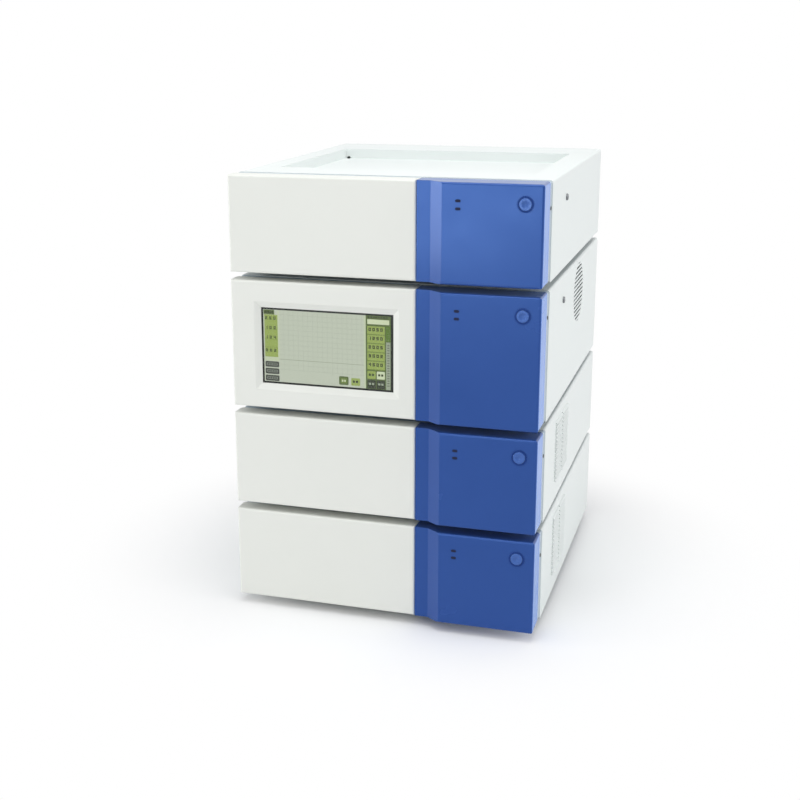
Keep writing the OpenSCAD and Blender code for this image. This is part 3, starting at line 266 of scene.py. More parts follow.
def solderMask(name, board):
    # green lacquer over copper: straight tracks show as slightly raised, lighter lines
    material, tree, shader = newFinish(name)
    coords = addNode(tree, "ShaderNodeTexCoord").outputs["Object"]
    tracks = addNode(tree, "ShaderNodeTexBrick", {"Vector": coords, "Scale": 1000 / board["trackMm"],
                                                  "Color1": toLinear(board["mask"]),
                                                  "Color2": toLinear(board["maskLight"]),
                                                  "Mortar": toLinear(board["copper"]),
                                                  "Mortar Size": board["trackWidth"],
                                                  "Brick Width": board["trackRun"],
                                                  "Row Height": board["trackStep"]})
    bump = addNode(tree, "ShaderNodeBump", {"Height": tracks.outputs["Fac"],
                                            "Strength": board["tracks"],
                                            "Distance": skins["board"]["relief"]})
    tree.links.new(tracks.outputs["Color"], shader.inputs["Base Color"])
    tree.links.new(bump.outputs["Normal"], shader.inputs["Normal"])
    shader.inputs["Roughness"].default_value = board["roughness"]
    return material


def litInk(name, hexColour, strength):
    # a lit patch of the display: an even glow with no highlight, seen through the glass
    material, _, shader = newFinish(name)
    shader.inputs["Base Color"].default_value = toLinear("#101512")
    shader.inputs["Roughness"].default_value = 0.6
    shader.inputs["Emission Color"].default_value = toLinear(hexColour)
    shader.inputs["Emission Strength"].default_value = strength
    return material


finishes = {
    # white powder coat on folded steel: broad soft highlights on a very slightly uneven skin
    "white_enamel": powderCoat("powderCoatWhite", {"light": "#e8edeb", "dark": "#e3e8e6", "toneMm": 140,
                                                   "peelMm": 2.2, "peel": 0.10, "roughness": 0.42,
                                                   "edgeMm": 0.5}),
    # grey powder coat of the chassis: duller than the covers, so the inside steps back
    "grey_enamel": powderCoat("powderCoatGrey", {"light": "#b9c1c4", "dark": "#b0b8bc", "toneMm": 120,
                                                 "peelMm": 2.0, "peel": 0.14, "roughness": 0.48,
                                                 "edgeMm": 0.4}),
    # zinc-coated sheet: cool grey with a vague spangle and a blurred reflection
    "supply_case": bareMetal("zincSheet", {"light": "#c9cccd", "dark": "#aeb3b5", "stainMm": 18,
                                           "lineMm": 1.2, "stretch": (1, 0.1, 1), "lines": 0.2,
                                           "roughness": 0.38, "edgeMm": 0.3}),
    # white ABS of the doors: a little warmer and smoother than the steel beside it
    "white_moulding": moulding("absWhite", {"light": "#e7e8e2", "dark": "#e2e4dd", "cloudMm": 110,
                                            "grainMm": 1.4, "grain": 0.10, "roughness": 0.40,
                                            "edgeMm": 0.4}),
    # blue ABS under a pearl lacquer: deep in front, pale blue where the light grazes it; its side faces
    # also carry a painted sheen, a paler blue colour
    "blue_moulding": moulding("pearlBlue", {"light": "#2b4a8f", "dark": "#284689", "cloudMm": 90,
                                            "grainMm": 1.4, "grain": 0.06, "roughness": 0.22,
                                            "edgeMm": 0.4, "shine": 0.78, "pearl": "#84b0ff",
                                            "haze": 0.35, "paintedSideSheen": "#5b88da"}),
    # blue-grey ABS of the rims: flat and quiet, it reads as a frame
    "grey_moulding": moulding("absGrey", {"light": "#b4c2ce", "dark": "#abbac7", "cloudMm": 80,
                                          "grainMm": 1.4, "grain": 0.12, "roughness": 0.42,
                                          "edgeMm": 0.4}),
    # glass-filled PBT of the fan: mid grey, dry and matt
    "fan_plastic": moulding("pbtGrey", {"light": "#8e9296", "dark": "#7f8488", "cloudMm": 30,
                                        "grainMm": 1.0, "grain": 0.2, "roughness": 0.5, "edgeMm": 0.3}),
    # black acetal of the knobs: dark satin with a waxy light along the edges
    "knob_plastic": moulding("acetalBlack", {"light": "#2b2d31", "dark": "#202226", "cloudMm": 15,
                                             "grainMm": 0.9, "grain": 0.15, "roughness": 0.42,
                                             "edgeMm": 0.3}),
    # black polyamide of the inlets: near black, so the contacts stand out in it
    "inlet_plastic": moulding("polyamideBlack", {"light": "#2a2b2e", "dark": "#1e1f22", "cloudMm": 20,
                                                 "grainMm": 1.0, "grain": 0.2, "roughness": 0.48,
                                                 "edgeMm": 0.3}),
    # dark blue ABS ring, deeper than the fascia: partly its own colour, partly painted shade of the groove
    # round the cap; it outlines the button
    "bezel_plastic": moulding("absDarkBlue", {"light": "#1c3a82", "dark": "#173374", "cloudMm": 12,
                                              "grainMm": 0.9, "grain": 0.1, "roughness": 0.34,
                                              "edgeMm": 0.2, "shine": 0.4, "pearl": "#95bcff"}),
    # smoked polycarbonate over an unlit lamp: a nearly black dot with no bright spot
    "lamp_lens": moulding("polycarbonateSmoke", {"light": "#101d45", "dark": "#0b1534", "cloudMm": 4,
                                                 "grainMm": 1.0, "grain": 0.05, "roughness": 0.5,
                                                 "edgeMm": 0.3, "ior": 1.585, "shine": 0.2}),
    # pressed sheet painted black behind the display: matt, it stays behind the glass
    "display_panel": moulding("pressedBlackSheet", {"light": "#1b1e21", "dark": "#141619", "cloudMm": 25,
                                                    "grainMm": 1.2, "grain": 0.1, "roughness": 0.4,
                                                    "edgeMm": 0.3}),
    # nitrile rubber feet: matt black with a coarse skin that takes no highlight
    "foot_rubber": moulding("nitrileBlack", {"light": "#2c2d2f", "dark": "#1f2022", "cloudMm": 10,
                                             "grainMm": 0.8, "grain": 0.35, "roughness": 0.75,
                                             "edgeMm": 0.5, "ior": 1.52}),
    # cream foam and insulation: pitted and wholly matt
    "foam": cellFoam("closedCellFoam", {"light": "#dcd8c9", "dark": "#c2bda9", "cellMm": 1.5,
                                        "pits": 0.5, "roughness": 0.9}),
    # green solder mask: lacquer with paler copper tracks under it
    "circuit_board": solderMask("solderMaskGreen", {"mask": "#1f6a45", "maskLight": "#23744c",
                                                    "copper": "#4b9468", "trackMm": 3.0,
                                                    "trackWidth": 0.06, "trackRun": 3.0,
                                                    "trackStep": 0.5, "tracks": 0.3,
                                                    "roughness": 0.35}),
    # anodised aluminium: silver grey with fine lines along the block
    "anodised_block": bareMetal("anodisedAluminium", {"light": "#aeb3b8", "dark": "#9ca2a8", "stainMm": 30,
                                                      "lineMm": 0.9, "stretch": (0.08, 1, 1),
                                                      "lines": 0.3, "roughness": 0.4, "edgeMm": 0.3}),
    # aluminium as cast: mottled and grainy, its highlights broken up
    "cast_alloy": bareMetal("castAluminium", {"light": "#b9bcbe", "dark": "#9fa3a6", "stainMm": 12,
                                              "lineMm": 1.4, "stretch": (1, 1, 1), "lines": 0.7,
                                              "roughness": 0.5, "edgeMm": 0.6}),
    # strip steel of the clips: bright, with one clean narrow glint
    "spring_steel": bareMetal("springSteel", {"light": "#c9cbcd", "dark": "#b3b6b9", "stainMm": 8,
                                              "lineMm": 0.8, "stretch": (1, 1, 0.1), "lines": 0.2,
                                              "roughness": 0.26, "edgeMm": 0.2}),
    # polished stainless: the brightest metal, its reflections drawn out along the tube
    "polished_steel": bareMetal("polishedStainless", {"light": "#b4b8bb", "dark": "#a6aaae", "stainMm": 10,
                                                      "lineMm": 0.8, "stretch": (0.1, 1, 1),
                                                      "lines": 0.08, "roughness": 0.24, "edgeMm": 0.2}),
    # machined stainless: bright, with tool marks that stretch the light upwards
    "machined_steel": bareMetal("machinedStainless", {"light": "#bcbfc2", "dark": "#aaaeb2", "stainMm": 14,
                                                      "lineMm": 0.9, "stretch": (1, 1, 0.06),
                                                      "lines": 0.3, "roughness": 0.28, "edgeMm": 0.3}),
    # black oxide on small screws: dark with an oily glint on the head
    "black_oxide": bareMetal("blackOxideSteel", {"light": "#34363a", "dark": "#232529", "stainMm": 5,
                                                 "lineMm": 0.8, "stretch": (1, 1, 0.2), "lines": 0.2,
                                                 "roughness": 0.36, "edgeMm": 0.2}),
    # zinc-plated cover screws: grey heads in which the cross reads dark
    "zinc_steel": bareMetal("zincPlatedSteel", {"light": "#85888b", "dark": "#707376", "stainMm": 4,
                                                "lineMm": 0.8, "stretch": (1, 1, 1), "lines": 0.2,
                                                "roughness": 0.3, "edgeMm": 0.2}),
    # nickel-plated shield of the ports: pale thin sheet round a dark mouth
    "port_shield": bareMetal("nickelPlatedShield", {"light": "#cfd1d2", "dark": "#b7babd", "stainMm": 6,
                                                    "lineMm": 0.8, "stretch": (1, 0.2, 1), "lines": 0.2,
                                                    "roughness": 0.3, "edgeMm": 0.2}),
    # brass contacts: a warm glint in the dark socket
    "contact_brass": bareMetal("nickelledBrass", {"light": "#d9c382", "dark": "#c4ab68", "stainMm": 5,
                                                  "lineMm": 0.8, "stretch": (1, 0.2, 1), "lines": 0.1,
                                                  "roughness": 0.25, "edgeMm": 0.2}),
    # button caps in the same pearl lacquer, painted one step lighter than the fascia: a painted highlight
    "button_metal": moulding("pearlMidBlue", {"light": "#3e61aa", "dark": "#3859a0", "cloudMm": 8,
                                              "grainMm": 0.9, "grain": 0.06, "roughness": 0.24,
                                              "edgeMm": 0.5, "shine": 0.8, "pearl": "#a4c6ff",
                                              "haze": 0.3}),
}

glass = {"thickness": 0.0012, "edge": 0.0004, "edgeSteps": 3, "tint": "#f4f7f4", "roughness": 0.08,
         "ior": 1.3, "etchMm": 1.2, "etch": 0.05, "relief": 0.0001}

# clear float glass, etched against glare: a faint veil over the picture and no sharp reflection; its
# low IOR stands for the coating that cuts reflections, and the sheet is a little thinner than the
# CAD glass to leave room for the picture behind it
touchGlass, glassTree, glassShader = newFinish("antiGlareGlass")
glassCoords = addNode(glassTree, "ShaderNodeTexCoord").outputs["Object"]
etch = addNode(glassTree, "ShaderNodeTexNoise", {"Vector": glassCoords, "Scale": 1000 / glass["etchMm"],
                                                 "Detail": 2.0})
etchBump = addNode(glassTree, "ShaderNodeBump", {"Height": etch.outputs["Fac"], "Strength": glass["etch"],
                                                 "Distance": glass["relief"]})
glassTree.links.new(etchBump.outputs["Normal"], glassShader.inputs["Normal"])
glassShader.inputs["Base Color"].default_value = toLinear(glass["tint"])
glassShader.inputs["Transmission Weight"].default_value = 1.0
glassShader.inputs["Roughness"].default_value = glass["roughness"]
glassShader.inputs["IOR"].default_value = glass["ior"]
finishes["touch_glass"] = touchGlass

# every CAD node wears the finish of its slot
slotOfNode = {part["node"]: part["material_slot"] for part in frame["record"]["subparts"]}
for nodeName, nodeObject in nodes.items():
    nodeObject.data.materials.clear()
    nodeObject.data.materials.append(finishes[slotOfNode[nodeName]])
print("finishes given to", len(nodes), "nodes")


# the display's picture: flat printed patches on the panel, drawn in mm from the glass's top left
# corner, under a glass sheet with round edges
glassLow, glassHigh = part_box("touch_glass")
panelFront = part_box("display_module")[0].y
screen = {
    "left": glassLow.x, "top": glassHigh.z, "width": glassHigh.x - glassLow.x,
    "height": glassHigh.z - glassLow.z,
    # the wider right side of the border is partly painted shade from the recess wall beside the glass
    "border": (2.9, 3.6, 4.6, 3.0),  # mm: left, top, right, bottom
    "layer": 0.00005, "borderLayer": 5.6, "cornerSteps": 4, "glow": 0.86,
    "digitBar": 0.26,  # width of a digit's bars as a share of its height
    "readings": [("250", 11.8), ("100", 23.4), ("124", 35.0), ("002", 50.8)],  # text, mm down
    "tableTexts": ["0050", "1250", "2005", "3002", "4500"],
    "rowTops": [16.0, 26.4, 36.8, 47.2, 57.6],
    "menuTops": [66.0, 74.4, 82.8],
    "colours": {
        "field": "#cad0bf", "fieldLight": "#cdd6b6", "grid": "#b2b9a9", "trace": "#9fa790",
        "lightGreen": "#9db055", "midGreen": "#718834", "frameGreen": "#566a2c", "deepGreen": "#252e14",
        "mark": "#33440f", "darkMark": "#1f2b07", "paper": "#dbe3bf", "keyGrey": "#3d413a",
        "keyFace": "#7a8076", "strip": "#a3ac97", "stripMark": "#6c7661", "thumb": "#5a7a1c",
    },
}


def inkSheet(name, finish, layer, cornerMm, patches):
    # one printed colour: flat patches (u0, v0, u1, v1) on their layer, with square or round corners
    sheets = []
    for u0, v0, u1, v1 in patches:
        bpy.ops.mesh.primitive_plane_add(size=1, rotation=(math.pi / 2, 0, 0), location=(
            screen["left"] + (u0 + u1) / 2000, panelFront - layer * screen["layer"],
            screen["top"] - (v0 + v1) / 2000))
        patch = bpy.context.object
        patch.scale = ((u1 - u0) / 1000, (v1 - v0) / 1000, 1)
        sheets.append(patch)
    sheet = place(joinPieces(sheets, name), finish, "base")
    if cornerMm:
        choose(sheet)
        bpy.ops.object.mode_set(mode="EDIT")
        bpy.ops.mesh.select_all(action="SELECT")
        bpy.ops.mesh.bevel(offset=cornerMm / 1000, segments=screen["cornerSteps"], affect="VERTICES")
        bpy.ops.object.mode_set(mode="OBJECT")


digitBars = {"0": "abcdef", "1": "bc", "2": "abged", "3": "abgcd", "4": "fgbc", "5": "afgcd",
             "6": "afgedc", "7": "abc", "8": "abcdefg", "9": "abcdfg"}


def digitPatches(text, u, v, height, width, gap):
    # digits of up to seven bars
    bar, half, patches = height * screen["digitBar"], height / 2, []
    places = {"a": (0, 0, width, bar), "g": (0, half - bar / 2, width, half + bar / 2),
              "d": (0, height - bar, width, height), "f": (0, 0, bar, half), "e": (0, half, bar, height),
              "b": (width - bar, 0, width, half), "c": (width - bar, half, width, height)}
    for letter in text:
        for bars in digitBars[letter]:
            x0, y0, x1, y1 = places[bars]
            patches.append((u + x0, v + y0, u + x1, v + y1))
        u += width + gap
    return patches


def keyMarks(u, v, count, width, height, pitch):
    # plain blocks that stand for a key's caption
    return [(u + i * pitch, v, u + i * pitch + width, v + height) for i in range(count)]


ink = {name: litInk(name + "Ink", colour, screen["glow"]) for name, colour in screen["colours"].items()}

# black print round the lit area, on the back of the glass: it ends the picture in a crisp dark line
ink["border"] = moulding("borderPrint", {"light": "#191d1b", "dark": "#131615", "cloudMm": 20,
                                         "grainMm": 1.0, "grain": 0.02, "roughness": 0.45,
                                         "edgeMm": 0.05, "shine": 0.2})

width, height = screen["width"] * 1000, screen["height"] * 1000
left, top, right, bottom = screen["border"]
menuTops, rowTops = screen["menuTops"], screen["rowTops"]
gridLines = [(u, 4.6, u + 0.28, 76.0) for u in range(28, 127, 6)]
gridLines += [(23.0, v, 126.4, v + 0.28) for v in range(9, 76, 6)]
readingMarks = [p for text, v in screen["readings"] for p in digitPatches(text, 5.2, v, 3.6, 2.7, 2.5)]
menuMarks = [p for v in menuTops for p in keyMarks(7.4, v + 2.5, 4, 1.7, 1.8, 3.0)]
tableMarks = [p for text, v in zip(screen["tableTexts"], rowTops)
              for p in digitPatches(text, 132.2, v + 1.8, 4.0, 2.9, 1.8)]
keyRows = keyMarks(132.2, 72.2, 2, 2.8, 2.8, 3.8) + keyMarks(143.6, 72.2, 2, 2.6, 2.6, 3.6)
darkRows = keyMarks(132.4, 83.2, 2, 2.6, 2.4, 3.8) + keyMarks(143.6, 83.2, 2, 2.6, 2.4, 3.8)

picture = [  # name, ink, layer, corner radius and patches in mm; a higher layer lies in front
    ("screenField", "field", 1, 0, [(left, top, width - right, height - bottom)]),
    ("fieldEdges", "fieldLight", 2, 0, [(20.6, 4.4, 22.6, 61.0), (4.0, 61.0, 21.6, 65.4),
                                        (126.6, 4.4, 128.6, 90.0)]),
    ("plotGrid", "grid", 2, 0, gridLines),
    ("plotBaseline", "trace", 3, 0, [(22.0, 62.4, 126.4, 62.9)]),
    ("readingColumn", "lightGreen", 2, 0, [(4.2, 9.6, 20.6, 60.6)]),
    ("readingRules", "midGreen", 3, 0, [(4.2, v, 20.6, v + 0.4) for v in (15.4, 27.2, 39.0, 48.4)]),
    ("readingTab", "frameGreen", 2, 0, [(3.4, 4.0, 16.8, 9.4)]),
    ("readingMarks", "mark", 3, 0, readingMarks),
    ("readingTabMarks", "darkMark", 3, 0, keyMarks(4.8, 5.4, 5, 1.5, 2.8, 2.3)),
    ("menuKeys", "keyGrey", 2, 1.3, [(4.2, v, 21.6, v + 7.0) for v in menuTops]),
    ("menuKeyFaces", "keyFace", 3, 0.6, [(6.0, v + 1.8, 19.6, v + 5.0) for v in menuTops]),
    ("menuKeyMarks", "keyGrey", 4, 0, menuMarks),
    ("zoomKey", "frameGreen", 3, 1.4, [(96.0, 78.0, 107.6, 88.2)]),
    ("zoomKeyFace", "midGreen", 4, 0.6, [(98.2, 80.2, 105.4, 86.2)]),
    ("zoomKeyMarks", "paper", 5, 0, keyMarks(99.4, 82.0, 2, 1.8, 2.4, 3.0)),
    ("pauseKey", "lightGreen", 3, 1.2, [(110.8, 79.2, 121.8, 88.2)]),
    ("pauseKeyMarks", "darkMark", 4, 0, keyMarks(112.8, 82.0, 2, 2.6, 2.8, 3.8)),
    ("tableFrame", "frameGreen", 2, 0, [(128.8, 3.6, 158.9, 90.5)]),
    ("tableHeaderMarks", "deepGreen", 3, 0, keyMarks(131.4, 4.6, 8, 1.9, 1.9, 3.1)),
    ("tableField", "paper", 3, 0, [(130.8, 8.0, 157.0, 13.6)]),
    ("tableRows", "lightGreen", 3, 0, [(130.6, v, 151.6, v + 10.2) for v in rowTops]),
    ("tableRules", "midGreen", 4, 0, [(130.6, v + 9.2, 151.6, v + 10.4) for v in rowTops]),
    ("tableMarks", "darkMark", 4, 0, tableMarks),
    ("scrollTrack", "strip", 3, 0, [(153.2, 34.0, 158.4, 90.5)]),
    ("scrollMarks", "stripMark", 4, 0, [(154.6, v, 157.2, v + 1.3) for v in range(37, 88, 3)]),
    ("scrollThumb", "thumb", 3, 0, [(153.0, 15.4, 158.4, 33.2)]),
    ("tableKeyPlain", "lightGreen", 3, 0.9, [(130.6, 69.2, 140.6, 78.4)]),
    ("tableKeyPaper", "paper", 3, 0.9, [(142.0, 69.2, 151.6, 78.4)]),
    ("tableKeysDark", "deepGreen", 3, 0.9, [(130.4, 79.8, 140.8, 90.0), (141.8, 79.8, 152.0, 90.0)]),
    ("tableKeyMarks", "mark", 4, 0, keyRows),
    ("tableKeyMarksPale", "strip", 4, 0, darkRows),
    ("glassBorder", "border", screen["borderLayer"], 0, [
        (0, 0, left, height), (width - right, 0, width, height), (left, 0, width - right, top),
        (left, height - bottom, width - right, height)]),
]
for pieceName, inkName, layer, cornerMm, patches in picture:
    inkSheet(pieceName, ink[inkName], layer, cornerMm, patches)

bpy.ops.mesh.primitive_cube_add(size=1, location=(
    screen["left"] + screen["width"] / 2, glassLow.y + glass["thickness"] / 2,
    screen["top"] - screen["height"] / 2))
pane = bpy.context.object
pane.scale = (screen["width"], glass["thickness"], screen["height"])
pane = joinPieces([pane], "touchGlassSheet")
bpy.ops.object.mode_set(mode="EDIT")
pickFaces(pane, lambda face: face.normal.y < -0.9)
bpy.ops.mesh.bevel(offset=glass["edge"], segments=glass["edgeSteps"], affect="EDGES")
bpy.ops.object.mode_set(mode="OBJECT")
place(pane, touchGlass, "base")
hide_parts("touch_glass")
print("display drawn")


# cross-recess screws in place of the plain CAD ones, sizes in metres
coverScrew = {"headR": 0.004, "headH": 0.0022, "shankR": 0.002, "shankL": 0.006, "crossW": 0.0009,
              "crossL": 0.0046, "crossD": 0.0013, "dome": 0.0014}
fasciaScrew = {"headR": 0.0022, "headH": 0.0006, "shankR": 0.0015, "shankL": 0.004, "crossW": 0.0006,
               "crossL": 0.0026, "crossD": 0.0004, "dome": 0.0003}
# smoothTo and the turns are in degrees, domeSteps is a count and the rest are shares of a size
screwShape = {"domeSteps": 5, "recessFloor": 0.45, "tip": 0.3, "headShare": 0.4, "smoothTo": 35,
              "firstTurn": 17, "turnStep": 41}


def crossScrew(size):
    # pan head with a cross recess, pointing up, its seat at z = 0
    bpy.ops.mesh.primitive_cylinder_add(vertices=32, radius=size["headR"], depth=size["headH"],
                                        location=(0, 0, size["headH"] / 2))
    head = bpy.context.object
    bpy.ops.object.transform_apply(location=True)
    bpy.ops.object.mode_set(mode="EDIT")
    pickFaces(head, lambda face: face.normal.z > 0.9)
    bpy.ops.mesh.bevel(offset=size["dome"], segments=screwShape["domeSteps"], affect="EDGES")
    bpy.ops.object.mode_set(mode="OBJECT")
    for turn in (0, math.pi / 2):
        bpy.ops.mesh.primitive_cube_add(size=1, location=(0, 0, size["headH"]), rotation=(0, 0, turn))
        blade = bpy.context.object
        blade.scale = (size["crossL"], size["crossW"], 2 * size["crossD"])
        bpy.ops.object.transform_apply(location=True, rotation=True, scale=True)
        pickFaces(blade, lambda face: face.normal.z < -0.9)
        narrow = screwShape["recessFloor"]
        bpy.ops.transform.resize(value=(narrow, narrow, 1))  # the recess narrows to its floor
        bpy.ops.object.mode_set(mode="OBJECT")
        applyModifier(head, "BOOLEAN", object=blade, operation="DIFFERENCE", solver="EXACT")
        bpy.data.objects.remove(blade)
    bpy.ops.mesh.primitive_cylinder_add(vertices=16, radius=size["shankR"], depth=size["shankL"],
                                        location=(0, 0, -size["shankL"] / 2))
    shank = bpy.context.object
    bpy.ops.object.mode_set(mode="EDIT")
    pickFaces(shank, lambda face: face.normal.z < -0.9)
    bpy.ops.mesh.bevel(offset=size["shankR"] * screwShape["tip"], segments=2, affect="EDGES")
    bpy.ops.object.mode_set(mode="OBJECT")
    screw = joinPieces([head, shank], "screwPattern")
    choose(screw)
    bpy.ops.object.shade_smooth_by_angle(angle=math.radians(screwShape["smoothTo"]))
    return screw


def looseParts(nodeName):
    # low corner, high corner and points of each separate solid in a CAD node
    choose()
    twin = copyPiece(nodes[nodeName], Matrix.Identity(4))
    twin.parent = None
    choose(twin)
    bpy.ops.object.mode_set(mode="EDIT")
    bpy.ops.mesh.select_all(action="SELECT")
    bpy.ops.mesh.remove_doubles(threshold=0.00001)
    bpy.ops.mesh.separate(type="LOOSE")
    bpy.ops.object.mode_set(mode="OBJECT")
    found = []
    for part in list(bpy.context.selected_objects):
        points = [Vector(v.co) for v in part.data.vertices]
        low = Vector([min(p[i] for p in points) for i in range(3)])
        high = Vector([max(p[i] for p in points) for i in range(3)])
        found.append((low, high, points))
        bpy.data.objects.remove(part)
    return found


def screwPlaces(nodeName, headH, shankL):
    # the seat of each screw and the way its head points: the wide end is the head
    places = []
    for low, high, points in looseParts(nodeName):
        centre, size = (low + high) / 2, high - low
        axis = min(range(3), key=lambda i: abs(size[i] - headH - shankL))
        acrossAxes = [i for i in range(3) if i != axis]
        rim = size[acrossAxes[0]] * screwShape["headShare"]
        wideEnd = [p[axis] - centre[axis] for p in points
                   if math.hypot(*[p[i] - centre[i] for i in acrossAxes]) > rim]
        sign = 1 if sum(wideEnd) > 0 else -1
        way = Vector((0, 0, 0))
        way[axis] = sign
        seat = centre.copy()
        seat[axis] = (high[axis] if sign > 0 else low[axis]) - sign * headH
        places.append((seat, way))
    return places


def fitScrews(name, nodeName, size, finish):
    pattern = crossScrew(size)
    copies = []
    for count, (seat, way) in enumerate(screwPlaces(nodeName, size["headH"], size["shankL"])):
        stop = screwShape["firstTurn"] + screwShape["turnStep"] * count  # each stops at its own angle
        turn = Matrix.Rotation(math.radians(stop), 4, "Z")
        lean = way.to_track_quat("Z", "Y").to_matrix().to_4x4()
        copies.append(copyPiece(pattern, Matrix.Translation(seat) @ lean @ turn))
    bpy.data.objects.remove(pattern)
    joined = joinPieces(copies, name)
    place(joined, finish, "base")
    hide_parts(nodeName)
    print(name, len(copies))


fitScrews("crossHeadCoverScrews", "cover_screws", coverScrew, finishes["zinc_steel"])
fitScrews("crossHeadFasciaScrews", "fascia_screws", fasciaScrew, finishes["black_oxide"])


# eight sprung wires in each network port, seen through its mouth
jack = {"contacts": 8, "pitch": 0.00102, "wire": (0.00046, 0.0085, 0.0003), "edge": 0.00008,
        "inside": 0.0072, "drop": 0.0022, "tilt": 12}
wires = []
for portLow, portHigh, _ in looseParts("data_ports"):
    portMiddle = (portLow + portHigh) / 2
    for i in range(jack["contacts"]):
        sideStep = (i - (jack["contacts"] - 1) / 2) * jack["pitch"]
        bpy.ops.mesh.primitive_cube_add(size=1, rotation=(math.radians(jack["tilt"]), 0, 0), location=(
            portMiddle.x + sideStep, portHigh.y - jack["inside"], portMiddle.z - jack["drop"]))
        wire = bpy.context.object
        wire.scale = jack["wire"]
        wires.append(wire)
springs = joinPieces(wires, "networkContacts")
applyModifier(springs, "BEVEL", width=jack["edge"], segments=2)
place(springs, finishes["contact_brass"], "base")

# white pointer line on each purge knob
pointer = {"size": (0.0012, 0.0003, 0.0036), "up": 0.0085, "proud": 0.00004, "edge": 0.0001}

# thick white paint: flat, with a soft edge
pointerInk = moulding("pointerPaint", {"light": "#eceeec", "dark": "#e2e4e2", "cloudMm": 3, "grainMm": 0.8,
                                       "grain": 0.1, "roughness": 0.45, "edgeMm": 0.05})
for pump in ("a", "b"):
    knobLow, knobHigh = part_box("pump_%s_purge_knob" % pump)
    knobMiddle = (knobLow + knobHigh) / 2
    bpy.ops.mesh.primitive_cube_add(size=1, location=(
        knobMiddle.x, knobLow.y + pointer["proud"], knobMiddle.z + pointer["up"]))
    line = bpy.context.object
    line.scale = pointer["size"]
    line = joinPieces([line], "pointerLine_" + pump)
    applyModifier(line, "BEVEL", width=pointer["edge"], segments=2)
    place(line, pointerInk, "pump_%s_knob" % pump)
print("sockets and knobs finished")


# pale floor and room, soft lamps above, in front of and beside the stack
studio = {
    "floor": "#fbfbfb", "floorRadius": 9, "fadeStart": 0.17, "fadeEnd": 0.5, "sky": 0.42,
    "floorRoughness": 0.85, "floorShine": 0.2, "skyTint": "#f8fbff",
    "lamps": [  # name, place, aim, size, watts
        ("overheadBox", (0.1, -0.35, 1.9), (0, 0, 0.5), 1.1, 13.5),
        ("leftBox", (-2.5, -1.3, 1.1), (0, -0.2, 0.35), 1.4, 12.5),
        ("sideBox", (2.6, -0.1, 1.3), (0.1, 0, 0.3), 1.8, 26),
        ("highFrontBox", (-0.3, -1.4, 1.6), (0, -0.2, 0.4), 0.8, 4.1),
        ("lowFrontBox", (-0.52, -2.7, 0.18), (0, -0.2, 0.4), 0.68, 6.9),
        ("lowLeftBox", (-2.6, -0.8, 0.25), (0.1, -0.2, 0.4), 0.7, 13),
    ],
}

bpy.ops.mesh.primitive_circle_add(vertices=96, radius=studio["floorRadius"], fill_type="NGON")
floor = bpy.context.object
floor.name = "paleFloor"

# matt white floor paint: it keeps the stack's shadow and turns to plain white further out
floorFinish, floorTree, floorShader = newFinish("paleFloorPaint")
floorCoords = addNode(floorTree, "ShaderNodeTexCoord").outputs["Object"]
distance = addNode(floorTree, "ShaderNodeVectorMath", {0: floorCoords}, operation="LENGTH")
fade = addNode(floorTree, "ShaderNodeMapRange", {"Value": distance.outputs["Value"],
                                                 "From Min": studio["fadeStart"],
                                                 "From Max": studio["fadeEnd"]},
               interpolation_type="SMOOTHSTEP")
rays = addNode(floorTree, "ShaderNodeLightPath")
seen = addNode(floorTree, "ShaderNodeMath", {0: rays.outputs["Is Camera Ray"],
                                             1: rays.outputs["Is Glossy Ray"]}, operation="MAXIMUM")
whiteShare = addNode(floorTree, "ShaderNodeMath", {0: seen.outputs[0], 1: fade.outputs["Result"]},
                     operation="MULTIPLY")
glow = addNode(floorTree, "ShaderNodeEmission", {"Color": (1, 1, 1, 1), "Strength": 1.0})
floorMix = addNode(floorTree, "ShaderNodeMixShader", {0: whiteShare.outputs[0], 1: floorShader.outputs[0],
                                                      2: glow.outputs[0]})
floorTree.links.new(floorMix.outputs[0], floorTree.nodes["Material Output"].inputs["Surface"])
floorShader.inputs["Base Color"].default_value = toLinear(studio["floor"])
floorShader.inputs["Roughness"].default_value = studio["floorRoughness"]
floorShader.inputs["Specular IOR Level"].default_value = studio["floorShine"]
floor.data.materials.append(floorFinish)

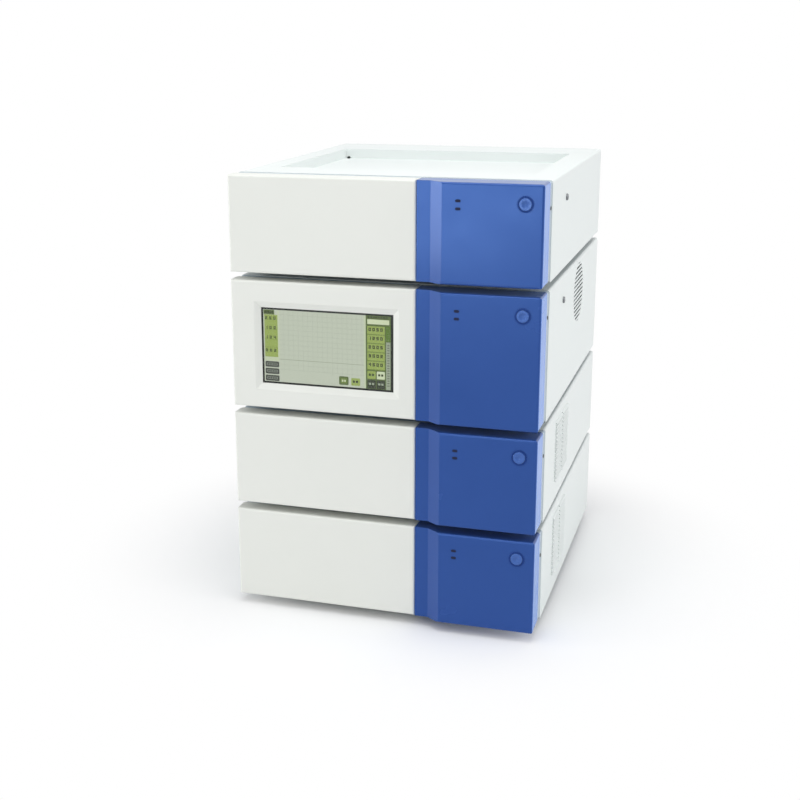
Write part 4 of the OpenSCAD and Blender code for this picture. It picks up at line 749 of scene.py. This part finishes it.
# an even pale room: dim as a lamp, plain white where the camera, gloss or glass looks at it
world = bpy.data.worlds.new("paleRoom")
world.use_nodes = True
worldTree = world.node_tree
worldTree.nodes.clear()
worldRays = addNode(worldTree, "ShaderNodeLightPath")
cameraOrGloss = addNode(worldTree, "ShaderNodeMath", {0: worldRays.outputs["Is Camera Ray"],
                                                      1: worldRays.outputs["Is Glossy Ray"]},
                        operation="MAXIMUM")
seenDirect = addNode(worldTree, "ShaderNodeMath", {0: cameraOrGloss.outputs[0],
                                                   1: worldRays.outputs["Is Transmission Ray"]},
                     operation="MAXIMUM")
fill = addNode(worldTree, "ShaderNodeBackground", {"Color": toLinear(studio["skyTint"]),
                                                   "Strength": studio["sky"]})
backdrop = addNode(worldTree, "ShaderNodeBackground", {"Color": (1, 1, 1, 1), "Strength": 1.0})
worldMix = addNode(worldTree, "ShaderNodeMixShader", {0: seenDirect.outputs[0], 1: fill.outputs[0],
                                                      2: backdrop.outputs[0]})
addNode(worldTree, "ShaderNodeOutputWorld", {"Surface": worldMix.outputs[0]})
bpy.context.scene.world = world

for lampName, where, aim, side, watts in studio["lamps"]:
    light = bpy.data.lights.new(lampName, "AREA")
    light.shape = "SQUARE"
    light.size = side
    light.energy = watts
    lamp = bpy.data.objects.new(lampName, light)
    lamp.location = where
    lamp.rotation_euler = (Vector(aim) - Vector(where)).to_track_quat("-Z", "Y").to_euler()
    bpy.context.scene.collection.objects.link(lamp)

# the camera stands a little above the top module, to the right of the stack
view = {"place": (0.4167, -1.5977, 0.6917), "yaw": -17.561, "pitch": -14.874, "roll": -0.361,
        "lens": 58.74, "shiftX": 0.0462, "shiftY": -0.031}
yaw, pitch, roll = [math.radians(view[key]) for key in ("yaw", "pitch", "roll")]
ahead = Vector((math.sin(yaw) * math.cos(pitch), math.cos(yaw) * math.cos(pitch), math.sin(pitch)))
across = Vector((math.cos(yaw), -math.sin(yaw), 0))
upward = across.cross(ahead)
across, upward = (across * math.cos(roll) + upward * math.sin(roll),
                  upward * math.cos(roll) - across * math.sin(roll))
cameraData = bpy.data.cameras.new("studioCamera")
cameraData.sensor_width = 36
cameraData.lens = view["lens"]
cameraData.shift_x = view["shiftX"]
cameraData.shift_y = view["shiftY"]
camera = bpy.data.objects.new("studioCamera", cameraData)
bpy.context.scene.collection.objects.link(camera)
turned = Matrix((across, upward, -ahead)).transposed().to_4x4()
camera.matrix_world = Matrix.Translation(view["place"]) @ turned
bpy.context.scene.camera = camera
bpy.context.scene.view_settings.view_transform = "Standard"
print("studio and camera set")
